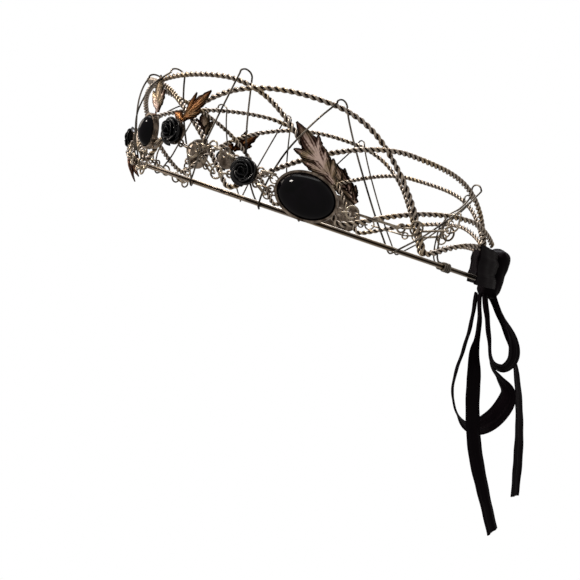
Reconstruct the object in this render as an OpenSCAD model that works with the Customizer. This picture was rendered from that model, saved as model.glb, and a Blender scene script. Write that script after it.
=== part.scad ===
// Wire circlet: a band of two soldered wires, three interlaced twisted wires, a lacing wire,
// stones and roses in silver settings, leaves, link chains and a ribbon tied in a bow behind.
// Lengths are in millimetres. The origin is the middle of the band, which rests on the head.
// +Z is up, the front is -Y and the wearer's left is +X. Angles round the band start at the front.

/* [Crown] */
// Half the band's length from front to back
band_a = 88; // [82:1:96]
// Half the band's width from side to side
band_b = 74; // [68:1:82]
// Height of the highest twisted arch above the band
crown_h = 48; // [42:1:56]
// Forward lean of the crown's wall, in degrees
lean = 12; // [6:1:16]
// Rise of the worn band towards the front, in degrees
wear_tilt = 19; // [10:1:24]
// Angle from the front at which the wires stop behind the head
end_angle = 166; // [162:1:168]

/* [Wires] */
// Diameter of each of the band's two wires
band_wire_d = 1.15; // [0.9:0.05:1.4]
// Diameter over both strands of a twisted wire
rope_d = 2.5; // [2:0.1:2.8]
// Diameter of the lacing wire
lace_d = 0.8; // [0.5:0.05:1]
// Clearance between wires that cross
gap = 0.3; // [0.2:0.05:0.4]
// Turns of lacing wire wound on the band at its end
coil_turns = 4; // [3:1:5]

/* [Stones] */
// Length of a side stone
side_stone_l = 25; // [22:0.5:27]
// Width of a side stone
side_stone_w = 18; // [16:0.5:19]
// Height of a side stone above its setting
side_stone_h = 4.6; // [3.5:0.1:6]
// Height of a front stone, from top to bottom
front_stone_l = 14; // [13:0.5:16]
// Width of a front stone
front_stone_w = 10; // [9:0.5:12]
// Height of a front stone above its setting
front_stone_h = 3.8; // [3:0.1:5]
// Width of the silver rim round a stone
bezel_wall = 0.9; // [0.6:0.1:1.2]
// Depth of a setting from its back to its rim
bezel_h = 2.6; // [2:0.1:3]
// Back plate of a setting
plate_t = 0.8; // [0.6:0.1:1.1]

/* [Roses and leaves] */
// Diameter of a rose
rose_d = 13; // [11.4:0.2:13.4]
// Height of a rose above its plate
rose_h = 5.6; // [4.5:0.1:7]
// Thickness of a petal's edge
petal_t = 0.9; // [0.7:0.05:1.1]
// Thickness of a leaf at its midrib
leaf_t = 1; // [0.8:0.05:1.2]
// Length of a side leaf
side_leaf_l = 29.5; // [26:0.5:31]
// Length of an amber leaf
amber_leaf_l = 20; // [17:0.5:23]
// Length of a front leaf
front_leaf_l = 16.5; // [13:0.5:18]
// Length of the centre leaf
centre_leaf_l = 15; // [12:0.5:17]
// How far the leaf in the middle of the front bulges
centre_leaf_t = 5; // [3:0.2:6]

/* [Chain] */
// Diameter of the wire of links and rings
link_wire = 0.85; // [0.75:0.05:0.9]
// Width across a long or small link
link_w = 3.3; // [3:0.1:3.6]
// Outer diameter of the eyes on settings
eye_d = 3.6; // [3.4:0.1:3.8]
// Clearance between linked wires
link_gap = 0.25; // [0.15:0.05:0.3]

/* [Ribbon] */
// Width of the ribbon
ribbon_w = 10; // [8:0.5:12]
// Thickness of the ribbon, doubled and gathered
ribbon_t = 1; // [1:0.1:1.4]
// Height of the folds that close round the ends of the wires
fold_h = 18; // [14:0.5:20]
// Width of the knot
knot_w = 15; // [12:0.5:17]
// Depth of the knot
knot_d = 11; // [9:0.5:13]
// Height of the knot
knot_h = 24; // [21:0.5:26]

/* [Hidden] */
$fn = 48;

// Columns of a twisted wire's arches, from one end of the wire to the other
FROM = 0;     // angle of the dip before the arch
PEAK = 1;     // angle of its highest point
TO = 2;       // angle of the dip after it
RISE = 3;     // height as a share of crown_h
BEFORE = 4;   // how full the curve is before the peak, 1 for a straight slope
AFTER = 5;    // how full it is after the peak
centre_arches = [
    [-169, -120, -70, 0.81, 3.6, 1.65],
    [ -70,    0,  70, 0.80, 4.4, 4.4],
    [  70,  120, 169, 0.81, 1.65, 3.6]];
side_arches = [
    [-200, -156, -129, 0.27, 2.0, 2.2],
    [-129,  -92,  -30, 1.00, 2.9, 2.0],
    [ -30,   66,  102, 0.96, 1.4, 2.4],
    [ 102,  148,  190, 0.46, 2.0, 1.5]];

// Which side of the crown's wall a twisted wire takes where it crosses another:
// angle, then 1 for outside and -1 for inside
centre_sides = [[-170, 1], [-150, 1], [-114, -1], [-92, 1], [-53, -1], [-37, 1],
                [37, -1], [53, 1], [92, -1], [114, 1], [150, -1], [170, -1]];
left_sides = [[-170, -1], [-124, -1], [-114, 1], [-75, -1], [-53, 1], [0, -1],
              [37, 1], [75, -1], [92, 1], [124, -1], [150, 1], [170, 1]];

// Stitches of the lacing wire on the left: angle of the hook under the band, curve of the rise,
// angle and height share of the top, curve of the fall, and as shares how far out the rise stands
// and how far out it starts to turn over
stitches = [
    [2.5, 2.0,   31,  0.83, 1.2, 1.0,  1.0],
    [ 14, 1.7,   45, 0.915, 1.8, 1.42, 0.85],
    [ 57, 1.0, 71.5,  1.06, 4.0, 1.0,  1.0],
    [ 80, 1.5, 99.5,  1.06, 1.2, 1.55, 0.85],
    [118, 1.0,  149,  0.80, 1.0, 1.0,  1.0]];
// Angle at which the lacing wire ends in a coil on the band
coil_angle = 137;

// Places of the stones and roses on the left: angle, height share, turn in degrees
side_place = [93, 0.185, -6];
front_place = [39, 0.31, 0];
rose_front_place = [51, 0.365, 0];
rose_side_place = [76, 0.22, 0];
rose_centre_place = [0, 0.22, 0];

// Directions of the eyes round each setting, in degrees from the way that leads backwards
side_eyes = [-6, 186];
front_eyes = [-40, 225];
rose_front_eyes = [215, -35];
rose_side_eyes = [205, 145, -28, 20];
rose_centre_eyes = [-25, 205];

// Leaves: columns are start along the midrib, direction in degrees, length and width,
// each length a share of the leaf's own
side_lobes = [[0, 0, 1, 0.30], [0.43, -32, 0.30, 0.14], [0.26, -34, 0.26, 0.13],
              [0.07, -36, 0.29, 0.13], [0.35, 33, 0.42, 0.16], [0.13, 30, 0.44, 0.16]];
amber_lobes = [[0, 0, 1.00, 0.32], [0.12, 24, 0.58, 0.17], [0.10, -24, 0.48, 0.20],
               [0.02, 110, 0.32, 0.24]];
front_lobes = [[0, 0, 1.00, 0.50], [0.10, 34, 0.60, 0.30], [0.10, -34, 0.60, 0.30]];
// The centre leaf, whose lobes fan out from its foot: direction, length and width
centre_lobes = [[-60, 0.62, 0.2], [-29, 0.86, 0.2], [0, 1, 0.22], [29, 0.86, 0.2], [60, 0.62, 0.2]];
fan_foot = 0.1;                                   // from the middle to the back, as a share too
fan_shoulder = 0.55;                              // where a lobe is widest, along its own length
fan_valley = 0.42;                                // where two lobes part
fan_side = 0.24;                                  // how far out the outer lobes start
fan_side_turn = 40;                               // and how many degrees before them

// Points of the ribbon below the knot's foot: sideways, backwards, upwards, and the ribbon's
// turn about its own length in degrees, 0 with its width sideways
loop_left_route = [
    [5, 3.8, -0.7, 0], [7, 8, -9, 10], [8.5, 12, -18, 30], [9, 12.5, -27, 40], [8, 8, -32, 30],
    [7, 3, -29, 10], [6, 1.5, -20, 0], [5, 0.5, -10, 0], [5, -1, 0, 0]];
loop_right_route = [
    [-5, -4.2, 0, 0], [-8, -6, -12, 0], [-10, -9.5, -25, 0], [-12, -13.5, -38, 0],
    [-12.5, -14.5, -48, 0], [-11, -12, -57, 0], [-9, -7.5, -61.5, 20], [-7, -1.5, -61.5, 50],
    [-5, 5, -57, 65], [-4, 10, -50, 60], [-4, 11, -44, 40], [-5, 7, -38, 15],
    [-6, 3.5, -31, 0], [-5.5, 2.2, -15, 0], [-5, 0.6, -0.4, 0]];
tail_left_route = [
    [3, -2.6, 0, 0], [3.5, -2.8, -13, 15], [4, -5, -25, 40], [5, -5.2, -35, 45],
    [5, -5.8, -49, 45], [5, -5.4, -63, 45], [5, -4, -75, 45], [4, -1.5, -87, 40],
    [4, 1, -98, 35], [3, 3.8, -110, 35]];
tail_right_route = [
    [-5, 2.2, -0.8, 0], [-6, 8, -11, 0], [-7, 13, -25, 10], [-8, 16, -41, 20], [-8, 17, -59, 25],
    [-8, 16.5, -77, 30], [-7, 15, -95, 25]];

// The left side's chains, from front to back
// Rings that face outwards: angle, height, distance out and diameter
front_ring = [19, 2.5, 5, 4.6];
low_ring = [33.5, -2.5, 3.2, 4.6];
large_ring = [60.1, 12.4, 6.95, 6.9];
rose_ring = [67.8, 6.6, 5.6, 6];
upper_ring = [65.8, 16.8, 5.3, 4.6];
side_ring = [105.2, 8.8, 5.4, 6];
small_ring = [119, 9.3, 5.4, 4.3];
arch_ring = [123.3, 11.3, 6.2, 6.5];
end_ring = [134, 13.7, 6.2, 6.5];
// Long links: angle, height and distance out of both ends, then the width
front_long = [[61, 13, 6.2], [67, 5.8, 5.6], 4.8];
back_long = [[124, 10.4, 6.3], [133.4, 14.8, 6.3], 4.2];
// The link that holds the lacing wire and the one round a twisted wire: the wire's middle, the
// link's reach past it and its width
lace_link = [[83.3, 13.4, 3.3], 1.35, 3.8];
end_link = [[139.5, 21.5, 0.45], 3, 6];
end_link_start = [134.8, 14.6, 6.7];
side_by_side = 0.75;                              // how far apart two rings lie in one link, halved

// Columns of a stitch
HOOK = 0;
UP_CURVE = 1;
TOP = 2;
TOP_H = 3;
DOWN_CURVE = 4;
SWELL = 5;
TOP_OUT = 6;
// Where the lacing wire's rings lie along a rise or a fall, and the half turn between the two:
// half its angle and its height
limb_shares = [0, 0.03, 0.11, 0.23, 0.38, 0.54, 0.7, 0.86];
top_half = 0.9;
top_drop = 2.4;
// The wire's way from its last top down to the coil: angle, height share, distance out as a share
lace_end = [[149, 0.66, -1], [144, 0.54, -1], [139.5, 0.46, -1],
            [137.5, 0.38, -1], [136.4, 0.2, -1], [136.4, 0.06, -0.9]];

// Places of the leaves' feet: angle, height share, direction of the midrib from upright
side_leaf_place = [99.8, 0.364, 50];
side_leaf_turn = 2;                               // its tip is turned in, to follow the wall
amber_leaf_place = [52.5, 0.483, -41];
front_leaf_place = [39.5, 0.49, 10];
centre_leaf_place = [0, 0.075, 180];
// A blade's width along its length: places and shares
blade_shares = [0, 0.18, 0.4, 0.64, 0.84, 1];
blade_sizes = [0.3, 0.72, 1, 0.84, 0.48, 0.08];

lobe_step = 0.05;                                 // how far each lobe lies above the one before

// Where the folds start, and the middle of their height
fold_from = 157;
fold_up = 6;
fold_bulge = 2;
// The knot's middle: behind the band and above its plane
knot_behind = 2.5;
knot_up = 4.5;
knot_round = 3;

// What the sizes above come to
tube_sides = 8;
lace_sides = 6;
ring_step = 3;                                    // degrees between the rings of a tube
band_step = 4;
stone_gap = 0.1;                                  // between a stone and its setting
band_h = 2 * band_wire_d - 0.15;                  // the two wires are soldered along a seam
rope_out = (rope_d + gap) / 2;                    // from the wall to a crossing wire's middle
rope_reach = rope_out + rope_d / 2;               // from the wall to a wire's outer side
dip_h = band_h / 2 + rope_d / 2 + gap;            // a twisted wire's dip rests on the band
lace_out = rope_reach + lace_d / 2 + 2 / 3 * gap;
hook_h = -(band_h / 2 + 1.5 * gap + lace_d / 2);  // the lacing wire's hooks, under the band
hook_share = (band_wire_d / 2 + 2 * gap + lace_d / 2) / lace_out;
coil_up = band_h / 2 + gap + lace_d / 2;
coil_across = band_wire_d / 2 + gap + lace_d / 2;
leaf_back = rope_reach + gap;
seat_out = leaf_back + leaf_t + gap;              // the back of every setting
bezel = 2 * (bezel_wall + stone_gap);             // what a setting adds to its stone
rose_plate_d = rose_d * 0.84;
eye_r = (eye_d - link_wire) / 2;
eye_up = link_wire / 2 + 0.1;
link_hook = link_wire + link_gap;                 // between the wires of two linked ends
fold_out = rope_reach + gap + ribbon_t / 2;
knot_side = knot_w / 2 * sqrt(1 - pow(2 * knot_behind / knot_d, 2));
fold_tip = 180 - degrees_for(180, knot_side + 3 * gap + ribbon_t / 2);
fold_to = fold_tip - fold_bulge;
knot_foot = tipped(wall(180, knot_up, knot_behind) - [0, 0, knot_h / 2 + gap]);

// Vectors
function unit(v) = v / norm(v);
function square_to(v, t) = unit(v - (v * t) * t);
function smooth(x) = (1 - cos(180 * x)) / 2;
function last(list) = list[len(list) - 1];

// The value of a table of [place, value] rows, eased from each row to the next
function eased(rows, x) =
    x <= rows[0][0] ? rows[0][1] :
    x >= last(rows)[0] ? last(rows)[1] :
    let (i = max([for (k = [0:len(rows) - 2]) if (rows[k][0] <= x) k]),
         part = (x - rows[i][0]) / (rows[i + 1][0] - rows[i][0]))
    rows[i][1] + (rows[i + 1][1] - rows[i][1]) * smooth(part);

// The crown's wall: a place at an angle round the band, a height and a distance outwards
function outward(a) = unit([sin(a) / band_b, -cos(a) / band_a, 0]);
function backward(a) = unit([band_b * cos(a), band_a * sin(a), 0]);
function wall(a, h, out = 0) =
    [band_b * sin(a), -band_a * cos(a) - h * tan(lean), h] + out * outward(a);
function tilt(a) = lean * cos(a);
function upward(a) = [0, 0, cos(tilt(a))] + sin(tilt(a)) * outward(a);
function facing(a) = cross(backward(a), upward(a));
function angle_of(p) = atan2(p.x / band_b, -(p.y + p.z * tan(lean)) / band_a);
function degrees_for(a, length) =
    length / norm([band_b * cos(a), band_a * sin(a)]) * 180 / PI;

// Height of a twisted wire at an angle: each arch falls to its dips, which are rounded
function arch(row, a) =
    let (before = a < row[PEAK],
         share = before ? (row[PEAK] - a) / (row[PEAK] - row[FROM])
                        : (a - row[PEAK]) / (row[TO] - row[PEAK]),
         fullness = before ? row[BEFORE] : row[AFTER])
    norm([row[RISE] * crown_h * (1 - pow(share, fullness)), dip_h]);
function rope_height(arches, a) =
    [for (row = arches) if (a >= row[FROM] && a < row[TO]) arch(row, a)][0];
function rope_path(arches, sides, side) =
    [for (a = [-end_angle : ring_step : end_angle + 0.01])
        wall(a, rope_height(arches, a), side * rope_out * eased(sides, a))];
// A wire's mirror image from left to right, walked in the same direction
function mirrored(path) = [for (i = [len(path) - 1 : -1 : 0]) [-path[i].x, path[i].y, path[i].z]];

// A smooth curve through the rows of a table, with extra points between the rows
function curve(rows, parts) =
    let (n = len(rows))
    concat([for (i = [0 : n - 2]) for (k = [0 : parts - 1])
        let (t = k / parts,
             p0 = rows[max(i - 1, 0)], p1 = rows[i], p2 = rows[i + 1], p3 = rows[min(i + 2, n - 1)])
        p1 + t * (p2 - p0) / 2 + t * t * (2 * p0 - 5 * p1 + 4 * p2 - p3) / 2
           + t * t * t * (3 * p1 - p0 - 3 * p2 + p3) / 2], [rows[n - 1]]);

// Sweeps an outline along a path. The outline's first axis starts as the given direction and
// is carried along without twisting, or follows the list of directions when one is given
function tangents(path) =
    [for (i = [0 : len(path) - 1]) unit(path[min(i + 1, len(path) - 1)] - path[max(i - 1, 0)])];
function carried(t, first) =
    [for (i = 0, u = square_to(first, t[0]); i < len(t);
          i = i + 1, u = i < len(t) ? square_to(u, t[i]) : u) u];
module sweep(path, outline, firsts, sizes = []) {
    t = tangents(path);
    u = is_list(firsts[0]) ? [for (i = [0 : len(t) - 1]) square_to(firsts[i], t[i])]
                           : carried(t, firsts);
    n = len(outline);
    m = len(path);
    size = len(sizes) ? sizes : [for (p = path) 1];
    points = [for (i = [0 : m - 1]) for (q = outline)
        path[i] + size[i] * (q.x * u[i] + q.y * cross(t[i], u[i]))];
    sides = [for (i = [0 : m - 2]) for (j = [0 : n - 1])
        let (a = i * n + j, b = i * n + (j + 1) % n)
        each [[a, a + n, b + n], [a, b + n, b]]];
    polyhedron(points, concat(sides, [[for (j = [0 : n - 1]) j]],
                              [[for (j = [n - 1 : -1 : 0]) (m - 1) * n + j]]), convexity = 10);
}
function round_outline(d, n) = [for (j = [0 : n - 1]) d / 2 * [cos(360 * j / n), sin(360 * j / n)]];
function strip_outline(w, t) = [[-t / 2, -w / 2], [t / 2, -w / 2], [t / 2, w / 2], [-t / 2, w / 2]];
module tube(path, d, n) sweep(path, round_outline(d, n), [0, 0, 1]);

// Everything on the head tips back with the worn band
function tipped(p) = [p.x, p.y * cos(wear_tilt) + p.z * sin(wear_tilt),
                      p.z * cos(wear_tilt) - p.y * sin(wear_tilt)];
module worn() rotate([-wear_tilt, 0, 0]) children();
module right_side() mirror([1, 0, 0]) children();

// The band: two round wires, one above the other, soldered together
function band_outline() =
    let (r = band_wire_d / 2, seam = band_h / 2 - r, waist = sqrt(r * r - seam * seam))
    concat([for (k = [0 : 5]) r * [cos(48 * k - 30), sin(48 * k - 30)] + [0, seam]], [[-waist, 0]],
           [for (k = [0 : 5]) r * [cos(48 * k + 150), sin(48 * k + 150)] - [0, seam]], [[waist, 0]]);
module base_band() {
    angles = [for (a = [-end_angle : band_step : end_angle + 0.01]) a];
    color("silver") worn()
        sweep([for (a = angles) wall(a, 0)], band_outline(), [for (a = angles) outward(a)]);
}

// Twisted wires
module rope(path) color("darkkhaki") worn() tube(path, rope_d, tube_sides);
module rope_centre() rope(rope_path(centre_arches, centre_sides, 1));
module rope_left() rope(rope_path(side_arches, left_sides, 1));
module rope_right() rope(mirrored(rope_path(side_arches, left_sides, -1)));

// The lacing wire: it rises outside the crown, turns over the top of the twisted wires, falls
// inside and hooks round the band
function out_of_limb(share) = eased([[0, 0], [0.03, hook_share], [0.3, 1]], share);
function up_limb(s, share) = hook_h + (s[TOP_H] * crown_h - top_drop - hook_h) * share;
function rise(s) = [for (k = limb_shares)
    wall(s[HOOK] + (s[TOP] - top_half - s[HOOK]) * pow(k, s[UP_CURVE]), up_limb(s, k),
         lace_out * out_of_limb(k)
             * eased([[0.3, 1], [0.55, s[SWELL]], [0.86, s[SWELL]], [1, s[TOP_OUT]]], k))];
function over_top(s) = [for (turn = [0 : 45 : 180])
    wall(s[TOP] - top_half * cos(turn), s[TOP_H] * crown_h - top_drop * (1 - sin(turn)),
         lace_out * cos(turn) * (turn < 90 ? s[TOP_OUT] : 1))];
function fall(s, hook) = [for (i = [len(limb_shares) - 1 : -1 : 1]) let (k = limb_shares[i])
    wall(s[TOP] + top_half + (hook - s[TOP] - top_half) * pow(1 - k, s[DOWN_CURVE]), up_limb(s, k),
         -lace_out * out_of_limb(k))];
function lace_coil() =
    [for (k = [0 : coil_turns * 8])
        wall(coil_angle + degrees_for(coil_angle, lace_d + gap) * k / 8,
             -coil_up * sin(45 * k), -coil_across * cos(45 * k))];
function lace_path() =
    concat([wall(stitches[0][HOOK] - 1, dip_h / 2, -lace_out / 2),
            wall(stitches[0][HOOK] - 0.5, hook_h * 0.3, -hook_share * lace_out)],
           [for (i = [0 : len(stitches) - 2]) each concat(rise(stitches[i]), over_top(stitches[i]),
               fall(stitches[i], stitches[i + 1][HOOK]))],
           rise(last(stitches)), over_top(last(stitches)),
           [for (row = lace_end) wall(row[0], row[1] * crown_h, row[2] * lace_out)], lace_coil());
module lacing_left() color("gray") worn() tube(lace_path(), lace_d, lace_sides);
module lacing_right() color("gray") worn() tube(mirrored(lace_path()), lace_d, lace_sides);

// Puts a piece on the crown: its back on the wall's side, its face outwards, its top up
module on_wall(place, out) {
    n = outward(place[0]);
    translate(wall(place[0], place[1] * crown_h, out))
        rotate([0, 0, atan2(n.x, -n.y)]) rotate([90 + tilt(place[0]), 0, 0])
            rotate([0, 0, place[2]]) children();
}
// Distance from an oval's middle to its edge in a direction
function oval_r(l, w, turn) = l * w / 2 / norm([w * cos(turn), l * sin(turn)]);
module oval(l, w, h) scale([1, w / l, 1]) cylinder(d = l, h = h);
module eye(l, w, turn)
    rotate([0, 0, turn]) translate([oval_r(l, w, turn) + eye_r, 0, eye_up])
        rotate_extrude() translate([eye_r, 0]) circle(d = link_wire);

// A setting: a back plate with a rim round the stone, and eyes for the chain
module setting(l, w, turn, eyes) color("silver") {
    difference() {
        union() {
            oval(l + bezel, w + bezel, bezel_h);
            for (e = eyes) eye(l + bezel, w + bezel, e - turn);
        }
        translate([0, 0, plate_t])
            oval(l + 2 * stone_gap, w + 2 * stone_gap, bezel_h);
    }
}
module side_setting_left() worn() on_wall(side_place, seat_out)
    setting(side_stone_l, side_stone_w, side_place[2], side_eyes);
module side_setting_right() worn() right_side() on_wall(side_place, seat_out)
    setting(side_stone_l, side_stone_w, side_place[2], side_eyes);
module front_setting_left() worn() on_wall(front_place, seat_out)
    setting(front_stone_w, front_stone_l, front_place[2], front_eyes);
module front_setting_right() worn() right_side() on_wall(front_place, seat_out)
    setting(front_stone_w, front_stone_l, front_place[2], front_eyes);

// A stone: an oval dome whose flat back lies in the setting
module stone(l, w, h) color([0.05, 0.04, 0.05])
    translate([0, 0, plate_t + stone_gap])
        scale([l / 2, w / 2, h + bezel_h - plate_t]) rotate_extrude($fn = 96)
            polygon(concat([[0, 0]], [for (k = [0 : 10]) [cos(9 * k), sin(9 * k)]]));
module side_stone_left() worn() on_wall(side_place, seat_out)
    stone(side_stone_l, side_stone_w, side_stone_h);
module side_stone_right() worn() right_side() on_wall(side_place, seat_out)
    stone(side_stone_l, side_stone_w, side_stone_h);
module front_stone_left() worn() on_wall(front_place, seat_out)
    stone(front_stone_w, front_stone_l, front_stone_h);
module front_stone_right() worn() right_side() on_wall(front_place, seat_out)
    stone(front_stone_w, front_stone_l, front_stone_h);

// A rose: rings of petals that stand round a bud on a shallow cup
module petal(r_foot, r_lip, foot, lip, start, span)
    rotate([0, 0, start - span / 2]) rotate_extrude(angle = span)
        polygon([[r_foot - petal_t, foot], [r_foot, foot], [r_lip, lip], [r_lip - petal_t, lip]]);
module rose() color([0.06, 0.06, 0.06]) translate([0, 0, plate_t + stone_gap]) {
    cylinder(h = rose_h * 0.3, d1 = rose_d * 0.7, d2 = rose_d * 0.86);
    for (k = [0 : 4])
        petal(rose_d * 0.4, rose_d / 2, rose_h * 0.12, rose_h * 0.62, 72 * k, 64);
    for (k = [0 : 3])
        petal(rose_d * 0.3, rose_d * 0.37, rose_h * 0.2, rose_h * 0.84, 90 * k + 30, 76);
    for (k = [0 : 2])
        petal(rose_d * 0.19, rose_d * 0.23, rose_h * 0.2, rose_h * 0.96, 120 * k + 10, 98);
    cylinder(h = rose_h, d = rose_d * 0.17);
}
module rose_plate(turn, eyes) color("silver") {
    cylinder(h = plate_t, d = rose_plate_d);
    for (e = eyes) eye(rose_plate_d, rose_plate_d, e - turn);
}
module rose_centre() worn() on_wall(rose_centre_place, seat_out) rose();
module rose_front_left() worn() on_wall(rose_front_place, seat_out) rose();
module rose_front_right() worn() right_side() on_wall(rose_front_place, seat_out) rose();
module rose_side_left() worn() on_wall(rose_side_place, seat_out) rose();
module rose_side_right() worn() right_side() on_wall(rose_side_place, seat_out) rose();
module rose_plate_centre() worn() on_wall(rose_centre_place, seat_out)
    rose_plate(rose_centre_place[2], rose_centre_eyes);
module rose_plate_front_left() worn() on_wall(rose_front_place, seat_out)
    rose_plate(rose_front_place[2], rose_front_eyes);
module rose_plate_front_right() worn() right_side() on_wall(rose_front_place, seat_out)
    rose_plate(rose_front_place[2], rose_front_eyes);
module rose_plate_side_left() worn() on_wall(rose_side_place, seat_out)
    rose_plate(rose_side_place[2], rose_side_eyes);
module rose_plate_side_right() worn() right_side() on_wall(rose_side_place, seat_out)
    rose_plate(rose_side_place[2], rose_side_eyes);

// A leaf: pointed blades that fan out from its midrib, each with a ridge along the middle
module blade(l, w, t)
    sweep([for (k = blade_shares) [0, k * l, 0]],
          [[w / 2, t / 5], [w / 4, t * 0.45], [0, t], [-w / 4, t * 0.45], [-w / 2, t / 5],
           [-w * 0.4, 0], [w * 0.4, 0]],
          [-1, 0, 0], blade_sizes);
module leaf(lobes, l, t)
    for (i = [0 : len(lobes) - 1])
        translate([0, lobes[i][0] * l, i * lobe_step]) rotate([0, 0, lobes[i][1]])
            blade(lobes[i][2] * l, lobes[i][3] * l, t);
module fan_leaf(lobes, l, t) {
    n = len(lobes);
    rim = concat([fan_point(180, fan_foot * l)],
                 [fan_point(lobes[0][0] - fan_side_turn, fan_side * l)],
                 [for (i = [0 : n - 1]) let (turn = lobes[i][0], r = fan_shoulder * lobes[i][1] * l,
                     half = atan(lobes[i][2] * l / 2 / r))
                     each concat([fan_point(turn - half, r), fan_point(turn, lobes[i][1] * l),
                                  fan_point(turn + half, r)],
                         i < n - 1 ? [fan_point((turn + lobes[i + 1][0]) / 2,
                                      fan_valley * l * min(lobes[i][1], lobes[i + 1][1]))]
                                   : [fan_point(turn + fan_side_turn, fan_side * l)])]);
    m = len(rim);
    middle = 2 * m;
    points = concat([for (p = rim) [p.x, p.y, 0]], [for (p = rim) [p.x, p.y, t / 5]], [[0, 0, t]],
                    [for (lobe = lobes) let (p = fan_point(lobe[0], fan_shoulder * lobe[1] * l))
                        [p.x, p.y, 0.8 * t]]);
    tops = [for (i = [0 : n - 1]) let (a = m + 1 + 4 * i, ridge = middle + 1 + i)
        each concat([[ridge, a, middle]], [for (k = [0 : 3]) [ridge, a + k + 1, a + k]],
                    [[ridge, middle, a + 4]])];
    polyhedron(points, concat(tops, [[m + 1, m, middle], [m, 2 * m - 1, middle]],
        [for (j = [0 : m - 1]) let (k = (j + 1) % m) each [[j, m + j, k], [k, m + j, m + k]]],
        [[for (j = [0 : m - 1]) j]]), convexity = 10);
}
function fan_point(turn, r) = r * [-sin(turn), cos(turn)];
module side_leaf() color("rosybrown") on_wall(side_leaf_place, leaf_back)
    rotate([-side_leaf_turn, 0, 0]) leaf(side_lobes, side_leaf_l, leaf_t);
module amber_leaf() color("peru") on_wall(amber_leaf_place, leaf_back)
    leaf(amber_lobes, amber_leaf_l, leaf_t);
module front_leaf() color("rosybrown") on_wall(front_leaf_place, leaf_back)
    leaf(front_lobes, front_leaf_l, leaf_t);
module side_leaf_left() worn() side_leaf();
module side_leaf_right() worn() right_side() side_leaf();
module amber_leaf_left() worn() amber_leaf();
module amber_leaf_right() worn() right_side() amber_leaf();
module front_leaf_left() worn() front_leaf();
module front_leaf_right() worn() right_side() front_leaf();
module centre_leaf() color("rosybrown") worn() on_wall(centre_leaf_place, leaf_back)
    fan_leaf(centre_lobes, centre_leaf_l, centre_leaf_t);

// A link: an oval of round wire, lying along X with its width along Y, or a ring if as long
// as it is wide
module link(l, w) {
    r = (min(w, l) - link_wire) / 2;
    straight = round(max(l - w, 0) * 500) / 500;      // whole thousandths, so that its ends meet
    if (straight > 0) {
        for (side = [0, 180]) rotate([0, 0, side]) {
            translate([straight / 2, 0, 0]) rotate([0, 0, -90]) rotate_extrude(angle = 180)
                translate([r, 0]) circle(d = link_wire);
            translate([-straight / 2, r, 0]) rotate([0, 90, 0]) cylinder(h = straight, d = link_wire);
        }
    } else {
        rotate_extrude() translate([r, 0]) circle(d = link_wire);
    }
}
// A link between the ends of two wires, its width outwards or, if flat, along the wall
module link_between(p, q, w, flat = false) {
    x = unit(q - p);
    n = square_to(facing(angle_of((p + q) / 2)), x);
    y = flat ? cross(n, x) : n;
    z = cross(x, y);
    m = (p + q) / 2;
    multmatrix([[x.x, y.x, z.x, m.x], [x.y, y.y, z.y, m.y], [x.z, y.z, z.z, m.z]])
        link(norm(q - p) + link_wire, w);
}
// A ring or an eye is a middle and a radius; a wire's end has the radius 0
function ring_at(row) = [wall(row[0], row[1], row[2]), (row[3] - link_wire) / 2];
function eye_at(place, l, w, turn) =
    let (a = place[0], r = oval_r(l, w, turn - place[2]) + eye_r)
    [wall(a, place[1] * crown_h, seat_out) + r * (cos(turn) * backward(a) + sin(turn) * upward(a))
         + eye_up * facing(a), eye_r];
function edge_of(ring, p) =
    ring[1] == 0 ? ring[0] :
    ring[0] + ring[1] * square_to(p - ring[0], facing(angle_of(ring[0])));
module ring(row) {
    at = ring_at(row);
    link_between(at[0] - [0, 0, at[1]], at[0] + [0, 0, at[1]], row[3], true);
}
// A row of links from one ring or eye to another, in turns edge-on and flat
module strand(from, to, count, flat_first = false, w = link_w) {
    a = edge_of(from, to[0]);
    b = edge_of(to, from[0]);
    reach = (norm(b - a) + (count + 1) * link_hook) / count;
    for (i = [0 : count - 1]) {
        start = a + unit(b - a) * (i * (reach - link_hook) - link_hook);
        flat = (i % 2 == 0) == flat_first;
        link_between(start, start + unit(b - a) * reach, flat ? reach + link_wire : w, flat);
    }
}
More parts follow.
